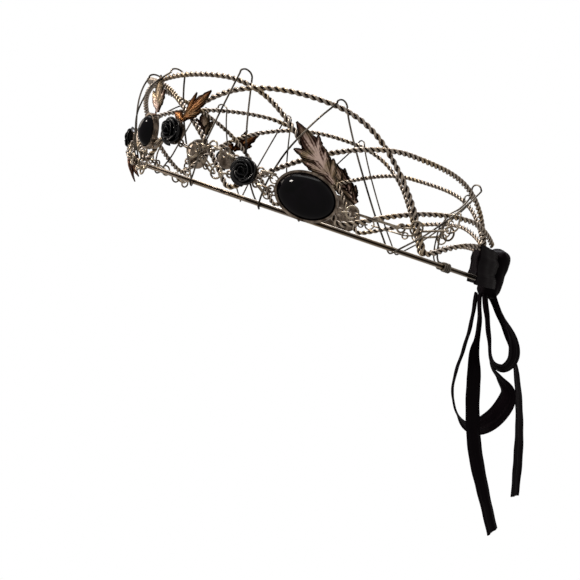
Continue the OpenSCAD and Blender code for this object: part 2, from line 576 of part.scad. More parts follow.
// A long link from inside a ring to beyond a wire
module hooked(start, row) {
    wire = wall(row[0][0], row[0][1], row[0][2]);
    link_between(start, wire + row[1] * unit(wire - start), row[2]);
}
function side_eye(turn) = eye_at(side_place, side_stone_l + bezel, side_stone_w + bezel, turn);
function front_eye(turn) =
    eye_at(front_place, front_stone_w + bezel, front_stone_l + bezel, turn);
function rose_eye(place, turn) = eye_at(place, rose_plate_d, rose_plate_d, turn);
function long_end(row, k) = wall(row[k][0], row[k][1], row[k][2]);
module front_links() color("gainsboro") {
    long_top = long_end(front_long, 0);
    beside = [long_top - side_by_side * facing(front_long[0][0]), 0];
    rose_side_eye = rose_eye(rose_side_place, rose_side_eyes[3]);
    lace_wire = long_end(lace_link, 0);
    lace_start = edge_of(rose_side_eye, lace_wire);
    for (row = [front_ring, low_ring, large_ring, rose_ring, upper_ring]) ring(row);
    strand(front_eye(front_eyes[1]), ring_at(low_ring), 3, w = 4.8);
    strand(ring_at(low_ring), ring_at(front_ring), 5);
    strand(ring_at(front_ring), rose_eye(rose_centre_place, rose_centre_eyes[0]), 5);
    strand(front_eye(front_eyes[0]), rose_eye(rose_front_place, rose_front_eyes[0]), 1);
    strand(rose_eye(rose_front_place, rose_front_eyes[1]), ring_at(large_ring), 1);
    link_between(long_top, long_end(front_long, 1), front_long[2]);
    strand(ring_at(rose_ring), rose_eye(rose_side_place, rose_side_eyes[0]), 1);
    strand(beside, ring_at(upper_ring), 2, true);
    strand(ring_at(upper_ring), rose_eye(rose_side_place, rose_side_eyes[1]), 3);
    strand(rose_eye(rose_side_place, rose_side_eyes[2]), side_eye(side_eyes[1]), 1);
    hooked(lace_start - link_hook * unit(lace_wire - lace_start), lace_link);
}
module back_links() color("gainsboro") {
    for (row = [side_ring, small_ring, arch_ring, end_ring]) ring(row);
    strand(side_eye(side_eyes[0]), ring_at(side_ring), 1);
    strand(ring_at(side_ring), ring_at(small_ring), 1, w = 3.6);
    strand(ring_at(small_ring), ring_at(arch_ring), 1);
    link_between(long_end(back_long, 0), long_end(back_long, 1), back_long[2]);
    hooked(wall(end_link_start[0], end_link_start[1], end_link_start[2]), end_link);
}
module chain_front_left() worn() front_links();
module chain_front_right() worn() right_side() front_links();
module chain_back_left() worn() back_links();
module chain_back_right() worn() right_side() back_links();

// The ribbon: folds that close round the ends of the wires, a knot, two loops and two tails
module ribbon_fold() {
    path = concat(
        [for (a = [fold_from : 3 : fold_to]) wall(a, fold_up, fold_out)],
        [for (k = [0 : 4]) wall(fold_to + fold_bulge * sin(45 * k), fold_up, fold_out * cos(45 * k))],
        [for (a = [fold_from : 3 : fold_to]) wall(fold_from + fold_to - a, fold_up, -fold_out)]);
    color([0.1, 0.08, 0.12])
        sweep(path, strip_outline(fold_h, ribbon_t),
              [for (t = tangents(path)) cross([0, -tan(lean), 1], t)]);
}
module ribbon_fold_left() worn() ribbon_fold();
module ribbon_fold_right() worn() right_side() ribbon_fold();
module ribbon_knot() color([0.1, 0.08, 0.12]) worn()
    translate(wall(180, knot_up, knot_behind)) scale([1, knot_d / knot_w, 1])
        rotate_extrude($fn = 72) {
            square_w = knot_w / 2 - knot_round;
            for (end = [-1, 1])
                translate([square_w, end * (knot_h / 2 - knot_round)]) intersection() {
                    circle(r = knot_round);
                    translate([0, end > 0 ? 0 : -knot_round]) square(knot_round);
                }
            translate([0, -knot_h / 2]) square([square_w, knot_h]);
            translate([0, -knot_h / 2 + knot_round])
                square([knot_w / 2, knot_h - 2 * knot_round]);
        }
module ribbon(route) {
    rows = curve(route, 2);
    path = [for (row = rows) knot_foot + [row[0], row[1], row[2]]];
    t = tangents(path);
    across = [for (i = [0 : len(rows) - 1])
        let (side = square_to([1, 0, 0], t[i]))
        cos(rows[i][3]) * side + sin(rows[i][3]) * cross(t[i], side)];
    color([0.1, 0.08, 0.12])
        sweep(path, strip_outline(ribbon_w, ribbon_t),
              [for (i = [0 : len(t) - 1]) cross(across[i], t[i])]);
}
module ribbon_loop_left() ribbon(loop_left_route);
module ribbon_loop_right() ribbon(loop_right_route);
module ribbon_tail_left() ribbon(tail_left_route);
module ribbon_tail_right() ribbon(tail_right_route);

base_band();
rope_centre();
rope_left();
rope_right();
lacing_left();
lacing_right();
side_setting_left();
side_setting_right();
side_stone_left();
side_stone_right();
front_setting_left();
front_setting_right();
front_stone_left();
front_stone_right();
rose_centre();
rose_front_left();
rose_front_right();
rose_side_left();
rose_side_right();
rose_plate_centre();
rose_plate_front_left();
rose_plate_front_right();
rose_plate_side_left();
rose_plate_side_right();
side_leaf_left();
side_leaf_right();
amber_leaf_left();
amber_leaf_right();
front_leaf_left();
front_leaf_right();
centre_leaf();
chain_front_left();
chain_front_right();
chain_back_left();
chain_back_right();
ribbon_fold_left();
ribbon_fold_right();
ribbon_knot();
ribbon_loop_left();
ribbon_loop_right();
ribbon_tail_left();
ribbon_tail_right();
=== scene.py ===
# %% [markdown]
# # A circlet of woven wire arches
# A circlet is a light crown. This one is an oval band of two thin wires with three twisted wires
# that rise from it in arches and weave through each other. Cabochons, small black roses, cast
# leaves and link chains hang on the arches, and a black satin ribbon ties it at the back.
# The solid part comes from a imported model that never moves. We load it, keep the nodes whose
# shape is already right, and build finer pieces over the rest.

# %% Load the frame
import math

import bpy
import numpy as np
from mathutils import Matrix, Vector, kdtree


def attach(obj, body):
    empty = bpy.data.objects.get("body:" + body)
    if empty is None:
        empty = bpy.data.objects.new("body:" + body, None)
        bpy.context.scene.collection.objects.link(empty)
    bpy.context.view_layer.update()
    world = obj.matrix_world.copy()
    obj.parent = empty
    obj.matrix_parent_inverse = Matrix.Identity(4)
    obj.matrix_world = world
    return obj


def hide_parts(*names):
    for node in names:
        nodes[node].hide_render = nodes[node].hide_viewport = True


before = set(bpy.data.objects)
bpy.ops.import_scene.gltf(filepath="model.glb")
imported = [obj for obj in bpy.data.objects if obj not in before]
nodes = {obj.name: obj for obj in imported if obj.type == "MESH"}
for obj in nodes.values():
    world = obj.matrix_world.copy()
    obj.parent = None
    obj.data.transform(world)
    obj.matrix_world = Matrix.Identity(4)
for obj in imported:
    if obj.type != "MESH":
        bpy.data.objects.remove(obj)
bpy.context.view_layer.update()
print("nodes in the frame:", len(nodes))

# %% [markdown]
# ## Small tools
# An operator works on everything that is selected, so we always start from a clean selection.
# A finished piece rides on the body that carries it, takes the finish that it is given and stands
# for the solid nodes that it hides. Its object stays at the origin, with its place in its mesh.
# The left and the right side mirror each other, so most pieces are made in a loop over both.

# %% Selection and finishing
MM = 0.001                                   # we design in millimetres, and Blender has metres
SIDES = (("left", 1), ("right", -1))


def select_only(*pieces):
    bpy.ops.object.select_all(action="DESELECT")
    for piece in pieces:
        piece.select_set(True)
    if pieces:
        bpy.context.view_layer.objects.active = pieces[-1]


def finish_piece(piece, name, finish, stands_for):
    piece.name = name
    piece.data.name = name
    piece.data.materials.clear()
    piece.data.materials.append(finish)
    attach(piece, "root")
    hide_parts(*stands_for)
    return piece


def set_material(node, finish):
    target = nodes[node]
    if not target.material_slots:
        target.data.materials.append(finish)
    for place in target.material_slots:
        place.material = finish


def joined(pieces):
    select_only(*pieces)
    bpy.ops.object.join()
    return bpy.context.object


print("we build for the sides", [side for side, _ in SIDES])

# %% [markdown]
# ## Colours and shader nodes
# Colours are picked as sRGB hex values, as in a paint program, but a shader counts in linear
# light, so one function turns one into the other. Another small function adds a node, gives it
# its settings and links its inputs, which keeps each material readable. Most finishes here also
# have fine marks that change the gloss and stand up a little, so a third function adds those.

# %% Colour and node helpers
def hex_colour(code):
    parts = [int(code[i:i + 2], 16) / 255 for i in (1, 3, 5)]
    return [p / 12.92 if p <= 0.04045 else ((p + 0.055) / 1.055) ** 2.4 for p in parts] + [1]


def add_node(tree, kind, settings=None, stops=(), **inputs):
    """i0, i1 and so on name an input by its number. Stops are the places and colours of a ramp."""
    made = tree.nodes.new(kind)
    for key, value in (settings or {}).items():
        setattr(made, key, value)
    for _ in stops[2:]:
        made.color_ramp.elements.new(0.5)
    for k, (place, code) in enumerate(stops):
        made.color_ramp.elements[k].position = place
        made.color_ramp.elements[k].color = hex_colour(code)
    for key, value in inputs.items():
        socket = made.inputs[int(key[1:])] if key[0] == "i" and key[1:].isdigit() \
            else made.inputs[key.replace("_", " ")]
        if isinstance(value, bpy.types.NodeSocket):
            tree.links.new(value, socket)
        else:
            socket.default_value = value
    return made


def new_material(name):
    finish = bpy.data.materials.new(name)
    finish.use_nodes = True
    tree = finish.node_tree
    shader = tree.nodes["Principled BSDF"]
    return finish, tree, shader


def mark_surface(tree, shader, marks, smooth, coarse, strength, depth):
    """Gives the roughness a range and adds a bump, both from one pattern. Depth is in metres."""
    rough = add_node(tree, "ShaderNodeMapRange", Value=marks, i3=smooth, i4=coarse)
    tree.links.new(rough.outputs["Result"], shader.inputs["Roughness"])
    bump = add_node(tree, "ShaderNodeBump", Strength=strength, Distance=depth, Height=marks)
    tree.links.new(bump.outputs["Normal"], shader.inputs["Normal"])


print("middle grey, as a shader counts it:", round(hex_colour("#808080")[0], 3))

# %% [markdown]
# ## Aged silver wire, with painted shade and highlights
# The arches are silver-plated brass wire, and here and there the plating has worn to warm brass.
# To the eye the twist is a row of small bright beads with dark gaps. We give every point of the
# wire an attribute, 0 in the groove and 1 on the crest, and colour by it: dark in the groove,
# partly patina and partly painted shade, and bright on the crest, a painted highlight.

# %% Twisted wire material
def worn_silver_with_painted_light(name, silver_tones, brass_tones):
    finish, tree, shader = new_material(name)
    groove = add_node(tree, "ShaderNodeAttribute", {"attribute_name": "groove"})
    place = add_node(tree, "ShaderNodeTexCoord")
    patches = add_node(tree, "ShaderNodeTexNoise", Vector=place.outputs["Object"],
                       Scale=70, Detail=3)                       # patches of about 14 mm
    # Dark in the groove and bright on the crest: painted shade and a painted highlight
    silver = add_node(tree, "ShaderNodeValToRGB", stops=silver_tones, i0=groove.outputs["Fac"])
    brass = add_node(tree, "ShaderNodeValToRGB", stops=brass_tones, i0=groove.outputs["Fac"])
    rubbed = add_node(tree, "ShaderNodeMapRange", Value=patches.outputs["Fac"],
                      i1=0.5, i2=0.66)                           # silver below, bare brass above
    mixed = add_node(tree, "ShaderNodeMix", {"data_type": "RGBA"}, i0=rubbed.outputs["Result"],
                     i6=silver.outputs["Color"], i7=brass.outputs["Color"])
    tree.links.new(mixed.outputs[2], shader.inputs["Base Color"])
    scratches = add_node(tree, "ShaderNodeTexNoise", Vector=place.outputs["Object"],
                         Scale=1500, Detail=2)                   # drawing marks, 0.7 mm
    mark_surface(tree, shader, scratches.outputs["Fac"], 0.22, 0.48, 0.25, 0.0001)
    shader.inputs["Metallic"].default_value = 1.0
    return finish


# Places are the shares of the way from the groove, painted shade, to the crest, painted highlight.
TWISTED = worn_silver_with_painted_light("aged_silver_wire",
                      [(0.42, "#1c1410"), (0.6, "#463b33"), (0.8, "#7d7166"), (1.0, "#c2b7ab")],
                      [(0.42, "#1c130b"), (0.6, "#48392b"), (0.8, "#7f6e59"), (1.0, "#c4b295")])
# On the band the ramp runs from painted shade at the seam to a painted highlight at top and
# bottom.
BAND_WIRE = worn_silver_with_painted_light("soldered_silver_wire",
                        [(0.1, "#150e0a"), (0.4, "#5b5046"), (0.7, "#a1968a"), (1.0, "#cfc6ba")],
                        [(0.1, "#160e08"), (0.4, "#5b4c3b"), (0.7, "#a0907a"), (1.0, "#cfc0a6")])
print("made", TWISTED.name, "and", BAND_WIRE.name)


# %% [markdown]
# ## Plain drawn wire and cast metal
# The thin lacing wire, the settings and the chain links are all drawn or cast white metal, and
# differ in how dark and how polished they are. One recipe makes each of them: a dark and a light
# tone in soft patches, and fine polishing marks in the roughness and in a tiny bump.

# %% White metal materials
def white_metal(name, dark, light, patch_mm, smooth, coarse):
    finish, tree, shader = new_material(name)
    place = add_node(tree, "ShaderNodeTexCoord")
    patches = add_node(tree, "ShaderNodeTexNoise", Vector=place.outputs["Object"],
                       Scale=1000 / patch_mm, Detail=4, Roughness=0.6)
    tone = add_node(tree, "ShaderNodeValToRGB", stops=[(0.38, dark), (0.66, light)],
                    i0=patches.outputs["Fac"])
    tree.links.new(tone.outputs["Color"], shader.inputs["Base Color"])
    marks = add_node(tree, "ShaderNodeTexNoise", Vector=place.outputs["Object"],
                     Scale=1800, Detail=2)                       # polishing marks, 0.55 mm
    mark_surface(tree, shader, marks.outputs["Fac"], smooth, coarse, 0.2, 0.00008)
    shader.inputs["Metallic"].default_value = 1.0
    return finish


LACING_WIRE = white_metal("drawn_lacing_wire", "#2b2622", "#8b8378", 12, 0.16, 0.32)
SETTING_METAL = white_metal("cast_setting", "#4a4038", "#a8998a", 4, 0.2, 0.42)
LINK_METAL = white_metal("nickel_links", "#554a3e", "#bfb19c", 5, 0.14, 0.3)
print("made", LACING_WIRE.name + ",", SETTING_METAL.name, "and", LINK_METAL.name)

# %% [markdown]
# ## Black cabochons and roses
# The cabochons are polished black stone with a faint violet depth: a very smooth dielectric, so
# dark that all one sees of it is the small bright mirror image of a lamp. The roses are moulded
# resin, less smooth, so that the petal edges catch soft highlights. Both are dark, and a full
# reflection would make them look grey, so the specular level is below its usual 0.5.

# %% Stone and resin materials
def polished_stone():
    finish, tree, shader = new_material("polished_black_stone")
    place = add_node(tree, "ShaderNodeTexCoord")
    veins = add_node(tree, "ShaderNodeTexNoise", Vector=place.outputs["Object"],
                     Scale=160, Detail=5, Distortion=0.6)        # cloudy veins of 6 mm
    tone = add_node(tree, "ShaderNodeValToRGB", stops=[(0.35, "#020203"), (0.7, "#09060b")],
                    i0=veins.outputs["Fac"])
    tree.links.new(tone.outputs["Color"], shader.inputs["Base Color"])
    shader.inputs["Roughness"].default_value = 0.06
    shader.inputs["IOR"].default_value = 1.54
    shader.inputs["Specular IOR Level"].default_value = 0.1
    return finish


def rose_resin():
    finish, tree, shader = new_material("moulded_black_resin")
    place = add_node(tree, "ShaderNodeTexCoord")
    grain = add_node(tree, "ShaderNodeTexNoise", Vector=place.outputs["Object"],
                     Scale=900, Detail=3)                        # fine mould grain, 1.1 mm
    tone = add_node(tree, "ShaderNodeValToRGB", stops=[(0.3, "#040405"), (0.75, "#0e0e12")],
                    i0=grain.outputs["Fac"])
    tree.links.new(tone.outputs["Color"], shader.inputs["Base Color"])
    rough = add_node(tree, "ShaderNodeMapRange", Value=grain.outputs["Fac"], i3=0.14, i4=0.3)
    tree.links.new(rough.outputs["Result"], shader.inputs["Roughness"])
    shader.inputs["IOR"].default_value = 1.5
    shader.inputs["Specular IOR Level"].default_value = 0.35
    return finish


STONE = polished_stone()
RESIN = rose_resin()
print("made", STONE.name, "and", RESIN.name)

# %% [markdown]
# ## Black satin
# Satin is woven so that long threads float on top along the ribbon. This one is soft and almost
# black: it hardly shines, and only a trace of violet-brown shows where light grazes it, which is
# a very thin sheen. The weave is drawn with the ribbon's own map, whose units are metres across
# and along it. The threads lie 0.5 mm apart, twice as coarse as real ones, so that they show.

# %% Satin material
def black_satin():
    finish, tree, shader = new_material("black_satin_ribbon")
    place = add_node(tree, "ShaderNodeUVMap", {"uv_map": "ribbon"})
    threads = add_node(tree, "ShaderNodeTexWave", {"bands_direction": "X"},
                       Vector=place.outputs["UV"], Scale=620, Distortion=1.5, Detail=1)
    streaks = add_node(tree, "ShaderNodeMapping", Vector=place.outputs["UV"],
                       Scale=(900, 40, 1))                       # 1.1 mm wide and 25 mm long
    slubs = add_node(tree, "ShaderNodeTexNoise", Vector=streaks.outputs["Vector"],
                     Scale=1, Detail=3)
    tone = add_node(tree, "ShaderNodeValToRGB", stops=[(0.3, "#040104"), (0.75, "#0d050a")],
                    i0=slubs.outputs["Fac"])
    tree.links.new(tone.outputs["Color"], shader.inputs["Base Color"])
    rough = add_node(tree, "ShaderNodeMapRange", Value=slubs.outputs["Fac"], i3=0.5, i4=0.7)
    tree.links.new(rough.outputs["Result"], shader.inputs["Roughness"])
    bump = add_node(tree, "ShaderNodeBump", Strength=0.3, Distance=0.0001,
                    Height=threads.outputs["Fac"])
    tree.links.new(bump.outputs["Normal"], shader.inputs["Normal"])
    shader.inputs["Sheen Weight"].default_value = 0.008
    shader.inputs["Sheen Roughness"].default_value = 0.35
    shader.inputs["Sheen Tint"].default_value = hex_colour("#8c5f74")
    shader.inputs["IOR"].default_value = 1.3
    shader.inputs["Specular IOR Level"].default_value = 0.1
    return finish


SATIN = black_satin()
print("materials:", len(bpy.data.materials))

# %% [markdown]
# ## The shape of the crown
# Every wire lies on one leaning oval wall, so one function gives a place on it from an angle
# round the band, a height and a distance outwards, in the same millimetres as the solid part.
# The angle is 0 at the front and grows towards the left side. The whole circlet is worn tipped
# back, so each point is turned once more at the end.

# %% Places on the crown
# Half length and half width of the band, height of the arches, degrees of lean and of tipping back
BAND_A, BAND_B, CROWN_H, LEAN, TIP = 88.0, 74.0, 48.0, 12.0, 19.0
# Where the wires end at the back, then thicknesses, and the gap between pieces that lie together
END_ANGLE, BAND_WIRE_D, ROPE_D, LACE_D, GAP = 166.0, 1.15, 2.5, 0.8, 0.3
SOLDER = 0.15                                # how far the two band wires sink into each other
BAND_H = 2 * BAND_WIRE_D - SOLDER
ROPE_OUT = (ROPE_D + GAP) / 2                # middle of an arch wire that passes outside another
ROPE_REACH = ROPE_OUT + ROPE_D / 2           # how far out the arch wires reach
DIP_H = BAND_H / 2 + ROPE_D / 2 + GAP        # as low as an arch wire goes, just above the band
LACE_OUT = ROPE_REACH + LACE_D / 2 + 2 / 3 * GAP     # middle of the lacing, over the arches


def unit(v):
    return np.asarray(v, float) / np.linalg.norm(v)


def unit_rows(rows):
    return rows / np.linalg.norm(rows, axis=1)[:, None]


def outward(a):
    """The way straight out of the band at an angle. Backward and upward are the other two."""
    a = math.radians(a)
    return unit([math.sin(a) / BAND_B, -math.cos(a) / BAND_A, 0])


def backward(a):
    a = math.radians(a)
    return unit([BAND_B * math.cos(a), BAND_A * math.sin(a), 0])


def upward(a):
    t = math.radians(LEAN * math.cos(math.radians(a)))
    return np.array([0, 0, math.cos(t)]) + math.sin(t) * outward(a)


def wall(a, h, out=0.0):
    """A place on the wall, in millimetres, before the circlet is tipped back."""
    r, lean = math.radians(a), h * math.tan(math.radians(LEAN))
    return (np.array([BAND_B * math.sin(r), -BAND_A * math.cos(r) - lean, h])
            + out * outward(a))


def worn(points):
    """Tips points back as the circlet is worn, and turns millimetres into metres."""
    p = np.atleast_2d(np.asarray(points, float))
    c, s = math.cos(math.radians(TIP)), math.sin(math.radians(TIP))
    return np.stack([p[:, 0], c * p[:, 1] + s * p[:, 2], c * p[:, 2] - s * p[:, 1]], 1) * MM


def height_of(points):
    """How high above the band points in metres lie, before the circlet is tipped back."""
    t = math.radians(TIP)
    return (points[:, 2] * math.cos(t) + points[:, 1] * math.sin(t)) / MM


def eased(rows, x):
    """Reads a table of places and values, with soft steps between its rows."""
    if x <= rows[0][0]:
        return rows[0][1]
    for (x0, y0), (x1, y1) in zip(rows, rows[1:]):
        if x <= x1:
            return y0 + (y1 - y0) * (1 - math.cos(math.pi * (x - x0) / (x1 - x0))) / 2
    return rows[-1][1]


print("a place on the wall:", worn(wall(90, 20)).round(4))


# %% [markdown]
# ## Making wire
# Wire is a curve with a round section. We add a path, give it our points and a thickness, and
# turn it into a mesh, which leaves real geometry that carries smooth shading and attributes.

# %% A wire along a path
def wire(points, diameter_mm, roundness):
    """Points are in metres. Roundness adds corners to the section: 2 gives 8, 3 gives 10."""
    select_only()
    bpy.ops.curve.primitive_nurbs_path_add()
    piece = bpy.context.object
    piece.data.splines.clear()
    line = piece.data.splines.new("POLY")
    line.points.add(len(points) - 1)
    flat = np.ones((len(points), 4))
    flat[:, :3] = points
    line.points.foreach_set("co", flat.ravel())
    piece.data.bevel_depth = diameter_mm / 2 * MM
    piece.data.bevel_resolution = roundness
    piece.data.use_fill_caps = True
    bpy.ops.object.convert(target="MESH")
    piece = bpy.context.object
    bpy.ops.object.shade_smooth()
    return piece


def frames_along(points):
    """Tangents and two carried-along side directions for a path."""
    t = unit_rows(np.gradient(points, axis=0))
    u = np.cross(t[0], [0, 0, 1])
    sides = []
    for direction in t:
        u = unit(u - (u @ direction) * direction)
        sides.append(u)
    sides = np.array(sides)
    return t, sides, np.cross(t, sides)


def lengths_along(points):
    """How far along a path each of its points lies."""
    return np.r_[0, np.cumsum(np.linalg.norm(np.diff(points, axis=0), axis=1))]


def read_at(wanted, along, points):
    """A path's points at the wanted lengths along it."""
    return np.stack([np.interp(wanted, along, points[:, k]) for k in range(3)], 1)


def evened(points, step):
    """The same path with its points a fixed distance apart."""
    along = lengths_along(points)
    return read_at(np.linspace(0, along[-1], max(2, int(along[-1] / step))), along, points)


# %% [markdown]
# ## The three twisted arches
# Each arch wire is two strands twisted together. The solid part has a plain tube there. We follow
# the tube's middle line and wind two strands round it. They were twisted by hand, so each wire
# has its own pitch, one turn in about 5 or 6 mm. We store how far each point lies from the
# middle, because by it the finish paints shade into the grooves and a highlight onto the crests.

# %% Arches
# Angle where each arch starts, peaks and ends, its height as a share of the crown, and how full
# it is before and after the peak
CENTRE_ARCHES = [(-169, -120, -70, 0.81, 3.6, 1.65), (-70, 0, 70, 0.80, 4.4, 4.4),
                 (70, 120, 169, 0.81, 1.65, 3.6)]
SIDE_ARCHES = [(-200, -156, -129, 0.27, 2.0, 2.2), (-129, -92, -30, 1.00, 2.9, 2.0),
               (-30, 66, 102, 0.96, 1.4, 2.4), (102, 148, 190, 0.46, 2.0, 1.5)]
# Angle and layer, 1 outside and -1 inside: the wires swap layers between their crossings
CENTRE_SIDES = [(-170, 1), (-150, 1), (-114, -1), (-92, 1), (-53, -1), (-37, 1),
                (37, -1), (53, 1), (92, -1), (114, 1), (150, -1), (170, -1)]
SIDE_SIDES = [(-170, -1), (-124, -1), (-114, 1), (-75, -1), (-53, 1), (0, -1),
              (37, 1), (75, -1), (92, 1), (124, -1), (150, 1), (170, 1)]
STRAND_STEP = 0.45                           # mm between points, about a dozen to each turn
print("arches:", len(CENTRE_ARCHES), "in the centre wire,", len(SIDE_ARCHES), "in each side wire")


# %% The middle line of an arch wire
def arch_height(arches, a):
    for start, peak, end, rise, before, after in arches:
        if start <= a < end:
            share = (peak - a) / (peak - start) if a < peak else (a - peak) / (end - peak)
            fullness = before if a < peak else after
            return math.hypot(rise * CROWN_H * (1 - share ** fullness), DIP_H)


def arch_path(arches, sides, side):
    angles = np.arange(-END_ANGLE, END_ANGLE + 0.01, 0.5)
    return np.array([wall(a, arch_height(arches, a), side * ROPE_OUT * eased(sides, a))
                     for a in angles])


print("highest point of the centre wire:", round(arch_height(CENTRE_ARCHES, 0), 1), "mm")


# %% Two strands round the middle line
def twisted_wire(name, path, pitch_mm):
    path = evened(path, STRAND_STEP)
    _, u, v = frames_along(path)
    turn = 2 * math.pi * STRAND_STEP * np.arange(len(path)) / pitch_mm
    strands = []
    for k in (0, 1):
        c, s = np.cos(turn + math.pi * k)[:, None], np.sin(turn + math.pi * k)[:, None]
        strands.append(wire(worn(path + ROPE_D / 4 * (c * u + s * v)), ROPE_D / 2, 2))
    piece = joined(strands)
    middle = worn(path)
    tree = kdtree.KDTree(len(middle))
    for i, p in enumerate(middle):
        tree.insert(p, i)
    tree.balance()
    # 0 in the groove and 1 on the crest; the finish paints shade and a highlight by it
    mark = piece.data.attributes.new("groove", "FLOAT", "POINT")
    mark.data.foreach_set("value", [min(1.0, tree.find(v.co)[2] / (ROPE_D / 2 * MM))
                                    for v in piece.data.vertices])
    finish_piece(piece, name, TWISTED, [name.replace("twisted_", "rope_")])
    print(name, len(piece.data.polygons), "faces")


left_path = arch_path(SIDE_ARCHES, SIDE_SIDES, 1)
right_path = arch_path(SIDE_ARCHES, SIDE_SIDES, -1) * [-1, 1, 1]
twisted_wire("twisted_centre", arch_path(CENTRE_ARCHES, CENTRE_SIDES, 1), 4.7)
twisted_wire("twisted_left", left_path, 5.6)
twisted_wire("twisted_right", right_path[::-1], 6.2)

# %% [markdown]
# ## The soldered band
# The band is two round wires laid one on the other and soldered. Its finish paints a highlight
# on each wire's outside and shade into the seam between them. We make both wires along the same
# oval and store each point's distance from the seam, which is what the finish asks for.

# %% Two wires and their seam
def soldered_band():
    seam = (BAND_H - BAND_WIRE_D) / 2
    angles = np.arange(-END_ANGLE, END_ANGLE + 0.01, 1.0)
    piece = joined([wire(worn([wall(a, level) for a in angles]), BAND_WIRE_D, 3)
                    for level in (seam, -seam)])
    # 0 at the seam, where the finish paints shade, to 1 at top and bottom, where it paints a
    # highlight
    mark = piece.data.attributes.new("groove", "FLOAT", "POINT")
    places = np.array([v.co for v in piece.data.vertices])
    mark.data.foreach_set("value", np.clip(np.abs(height_of(places)) / (BAND_H / 2), 0, 1))
    return finish_piece(piece, "band_wires", BAND_WIRE, ["base_band"])


print("band:", len(soldered_band().data.polygons), "faces")

# %% [markdown]
# ## The lacing wire
# One thin wire zigzags over the arches: it hooks under the band, rises outside, turns in a narrow
# hairpin over the top and comes down inside, and it ends in a neat coil round the band. The
# solid's tube has few bends, so we run a smooth curve through the same points and make round wire
# of it.

# %% Lacing stitches
# Angle of the hook, slant of the rise, angle and height of the top, slant of the fall, how far the
# rise swells out, its reach at the top, and half the width of the turn
STITCHES = [(2.5, 2.0, 31, 0.83, 1.2, 1.0, 1.0, 0.9), (14, 1.7, 45, 0.915, 1.8, 1.42, 0.85, 0.9),
            (57, 1.0, 71.5, 1.06, 4.0, 1.0, 1.0, 0.9), (80, 1.5, 99.5, 1.06, 1.2, 1.55, 0.85, 1.6),
            (118, 1.0, 149, 0.80, 1.0, 1.0, 1.0, 0.9)]
LIMB_SHARES = (0, 0.03, 0.07, 0.11, 0.17, 0.23, 0.3,
               0.38, 0.46, 0.54, 0.62, 0.7, 0.78, 0.86, 0.93)
TOP_DROP = 2.4                               # mm from the crest of a hairpin down to its limbs
# The last way down inside the arches: angle, height as a share of the crown, and layer
LACE_END = [(149, 0.66, -1), (144, 0.54, -1), (139.5, 0.46, -1),
            (137.5, 0.38, -1), (136.4, 0.2, -1), (136.4, 0.06, -0.9)]
COIL_AT, COIL_TURNS, COIL_STEPS = 137, 4, 8
HOOK_H = -(BAND_H / 2 + 1.5 * GAP + LACE_D / 2)
HOOK_OUT = BAND_WIRE_D / 2 + 2 * GAP + LACE_D / 2
COIL_UP = BAND_H / 2 + GAP + LACE_D / 2
COIL_ACROSS = BAND_WIRE_D / 2 + GAP + LACE_D / 2
print("stitches on each side:", len(STITCHES))


# %% The lacing's way
def limb_out(share):
    """Close to the band at the hook, then out to the layer over the arches."""
    return LACE_OUT * eased([(0, 0), (0.03, HOOK_OUT / LACE_OUT), (0.3, 1)], share)


def lacing_points():
    points = [wall(STITCHES[0][0] - 1, DIP_H / 2, -LACE_OUT / 2),
              wall(STITCHES[0][0] - 0.5, HOOK_H * 0.3, -HOOK_OUT)]
    for i, (hook, up, top, high, down, swell, reach, half) in enumerate(STITCHES):
        h = high * CROWN_H - TOP_DROP
        fullness = [(0.3, 1), (0.55, swell), (0.86, swell), (1, reach)]
        points += [wall(hook + (top - half - hook) * k ** up, HOOK_H + (h - HOOK_H) * k,
                        limb_out(k) * eased(fullness, k)) for k in LIMB_SHARES]
        for turn in np.radians(np.arange(0, 181, 15)):
            over = math.cos(turn) * (reach if math.cos(turn) > 0.01 else 1)
            points.append(wall(top - half * math.cos(turn), h + TOP_DROP * math.sin(turn),
                               LACE_OUT * over))
        if i + 1 < len(STITCHES):
            to = STITCHES[i + 1][0] - top - half
            points += [wall(top + half + to * (1 - k) ** down, HOOK_H + (h - HOOK_H) * k,
                            -limb_out(k)) for k in LIMB_SHARES[:0:-1]]
    points += [wall(a, share * CROWN_H, out * LACE_OUT) for a, share, out in LACE_END]
    r = math.radians(COIL_AT)
    pitch = math.degrees((LACE_D + GAP) / math.hypot(BAND_B * math.cos(r), BAND_A * math.sin(r)))
    for k in range(COIL_TURNS * COIL_STEPS + 1):
        turn = 2 * math.pi * k / COIL_STEPS
        points.append(wall(COIL_AT + pitch * k / COIL_STEPS, -COIL_UP * math.sin(turn),
                           -COIL_ACROSS * math.cos(turn)))
    return np.array(points)


def smooth_through(points, parts):
    """A curve that passes through every point, with each stretch between two cut into parts."""
    p = np.vstack([points[:1], points, points[-1:]])
    out = []
    for i in range(1, len(p) - 2):
        p0, p1, p2, p3 = p[i - 1:i + 3]
        for t in np.arange(parts) / parts:
            out.append(p1 + t * (p2 - p0) / 2 + t * t * (2 * p0 - 5 * p1 + 4 * p2 - p3) / 2
                       + t ** 3 * (3 * p1 - p0 - 3 * p2 + p3) / 2)
    return np.array(out + [p[-2]])


print("points on the lacing's way:", len(lacing_points()))

# %% Lacing wires
lace = smooth_through(lacing_points(), 3)
for side, sign in SIDES:
    piece = wire(worn(lace * [sign, 1, 1]), LACE_D, 2)
    finish_piece(piece, "lacing_wire_" + side, LACING_WIRE, ["lacing_" + side])
    print(piece.name, len(piece.data.polygons), "faces")

# %% [markdown]
# ## Pieces that sit on the wall
# Stones, roses and leaves are easiest to model lying flat on the bench, in millimetres, with
# their face up. A helper then lifts each one to its seat: backwards, upwards and outwards become
# its three directions. The right side's pieces are mirror images, so their faces are turned over.

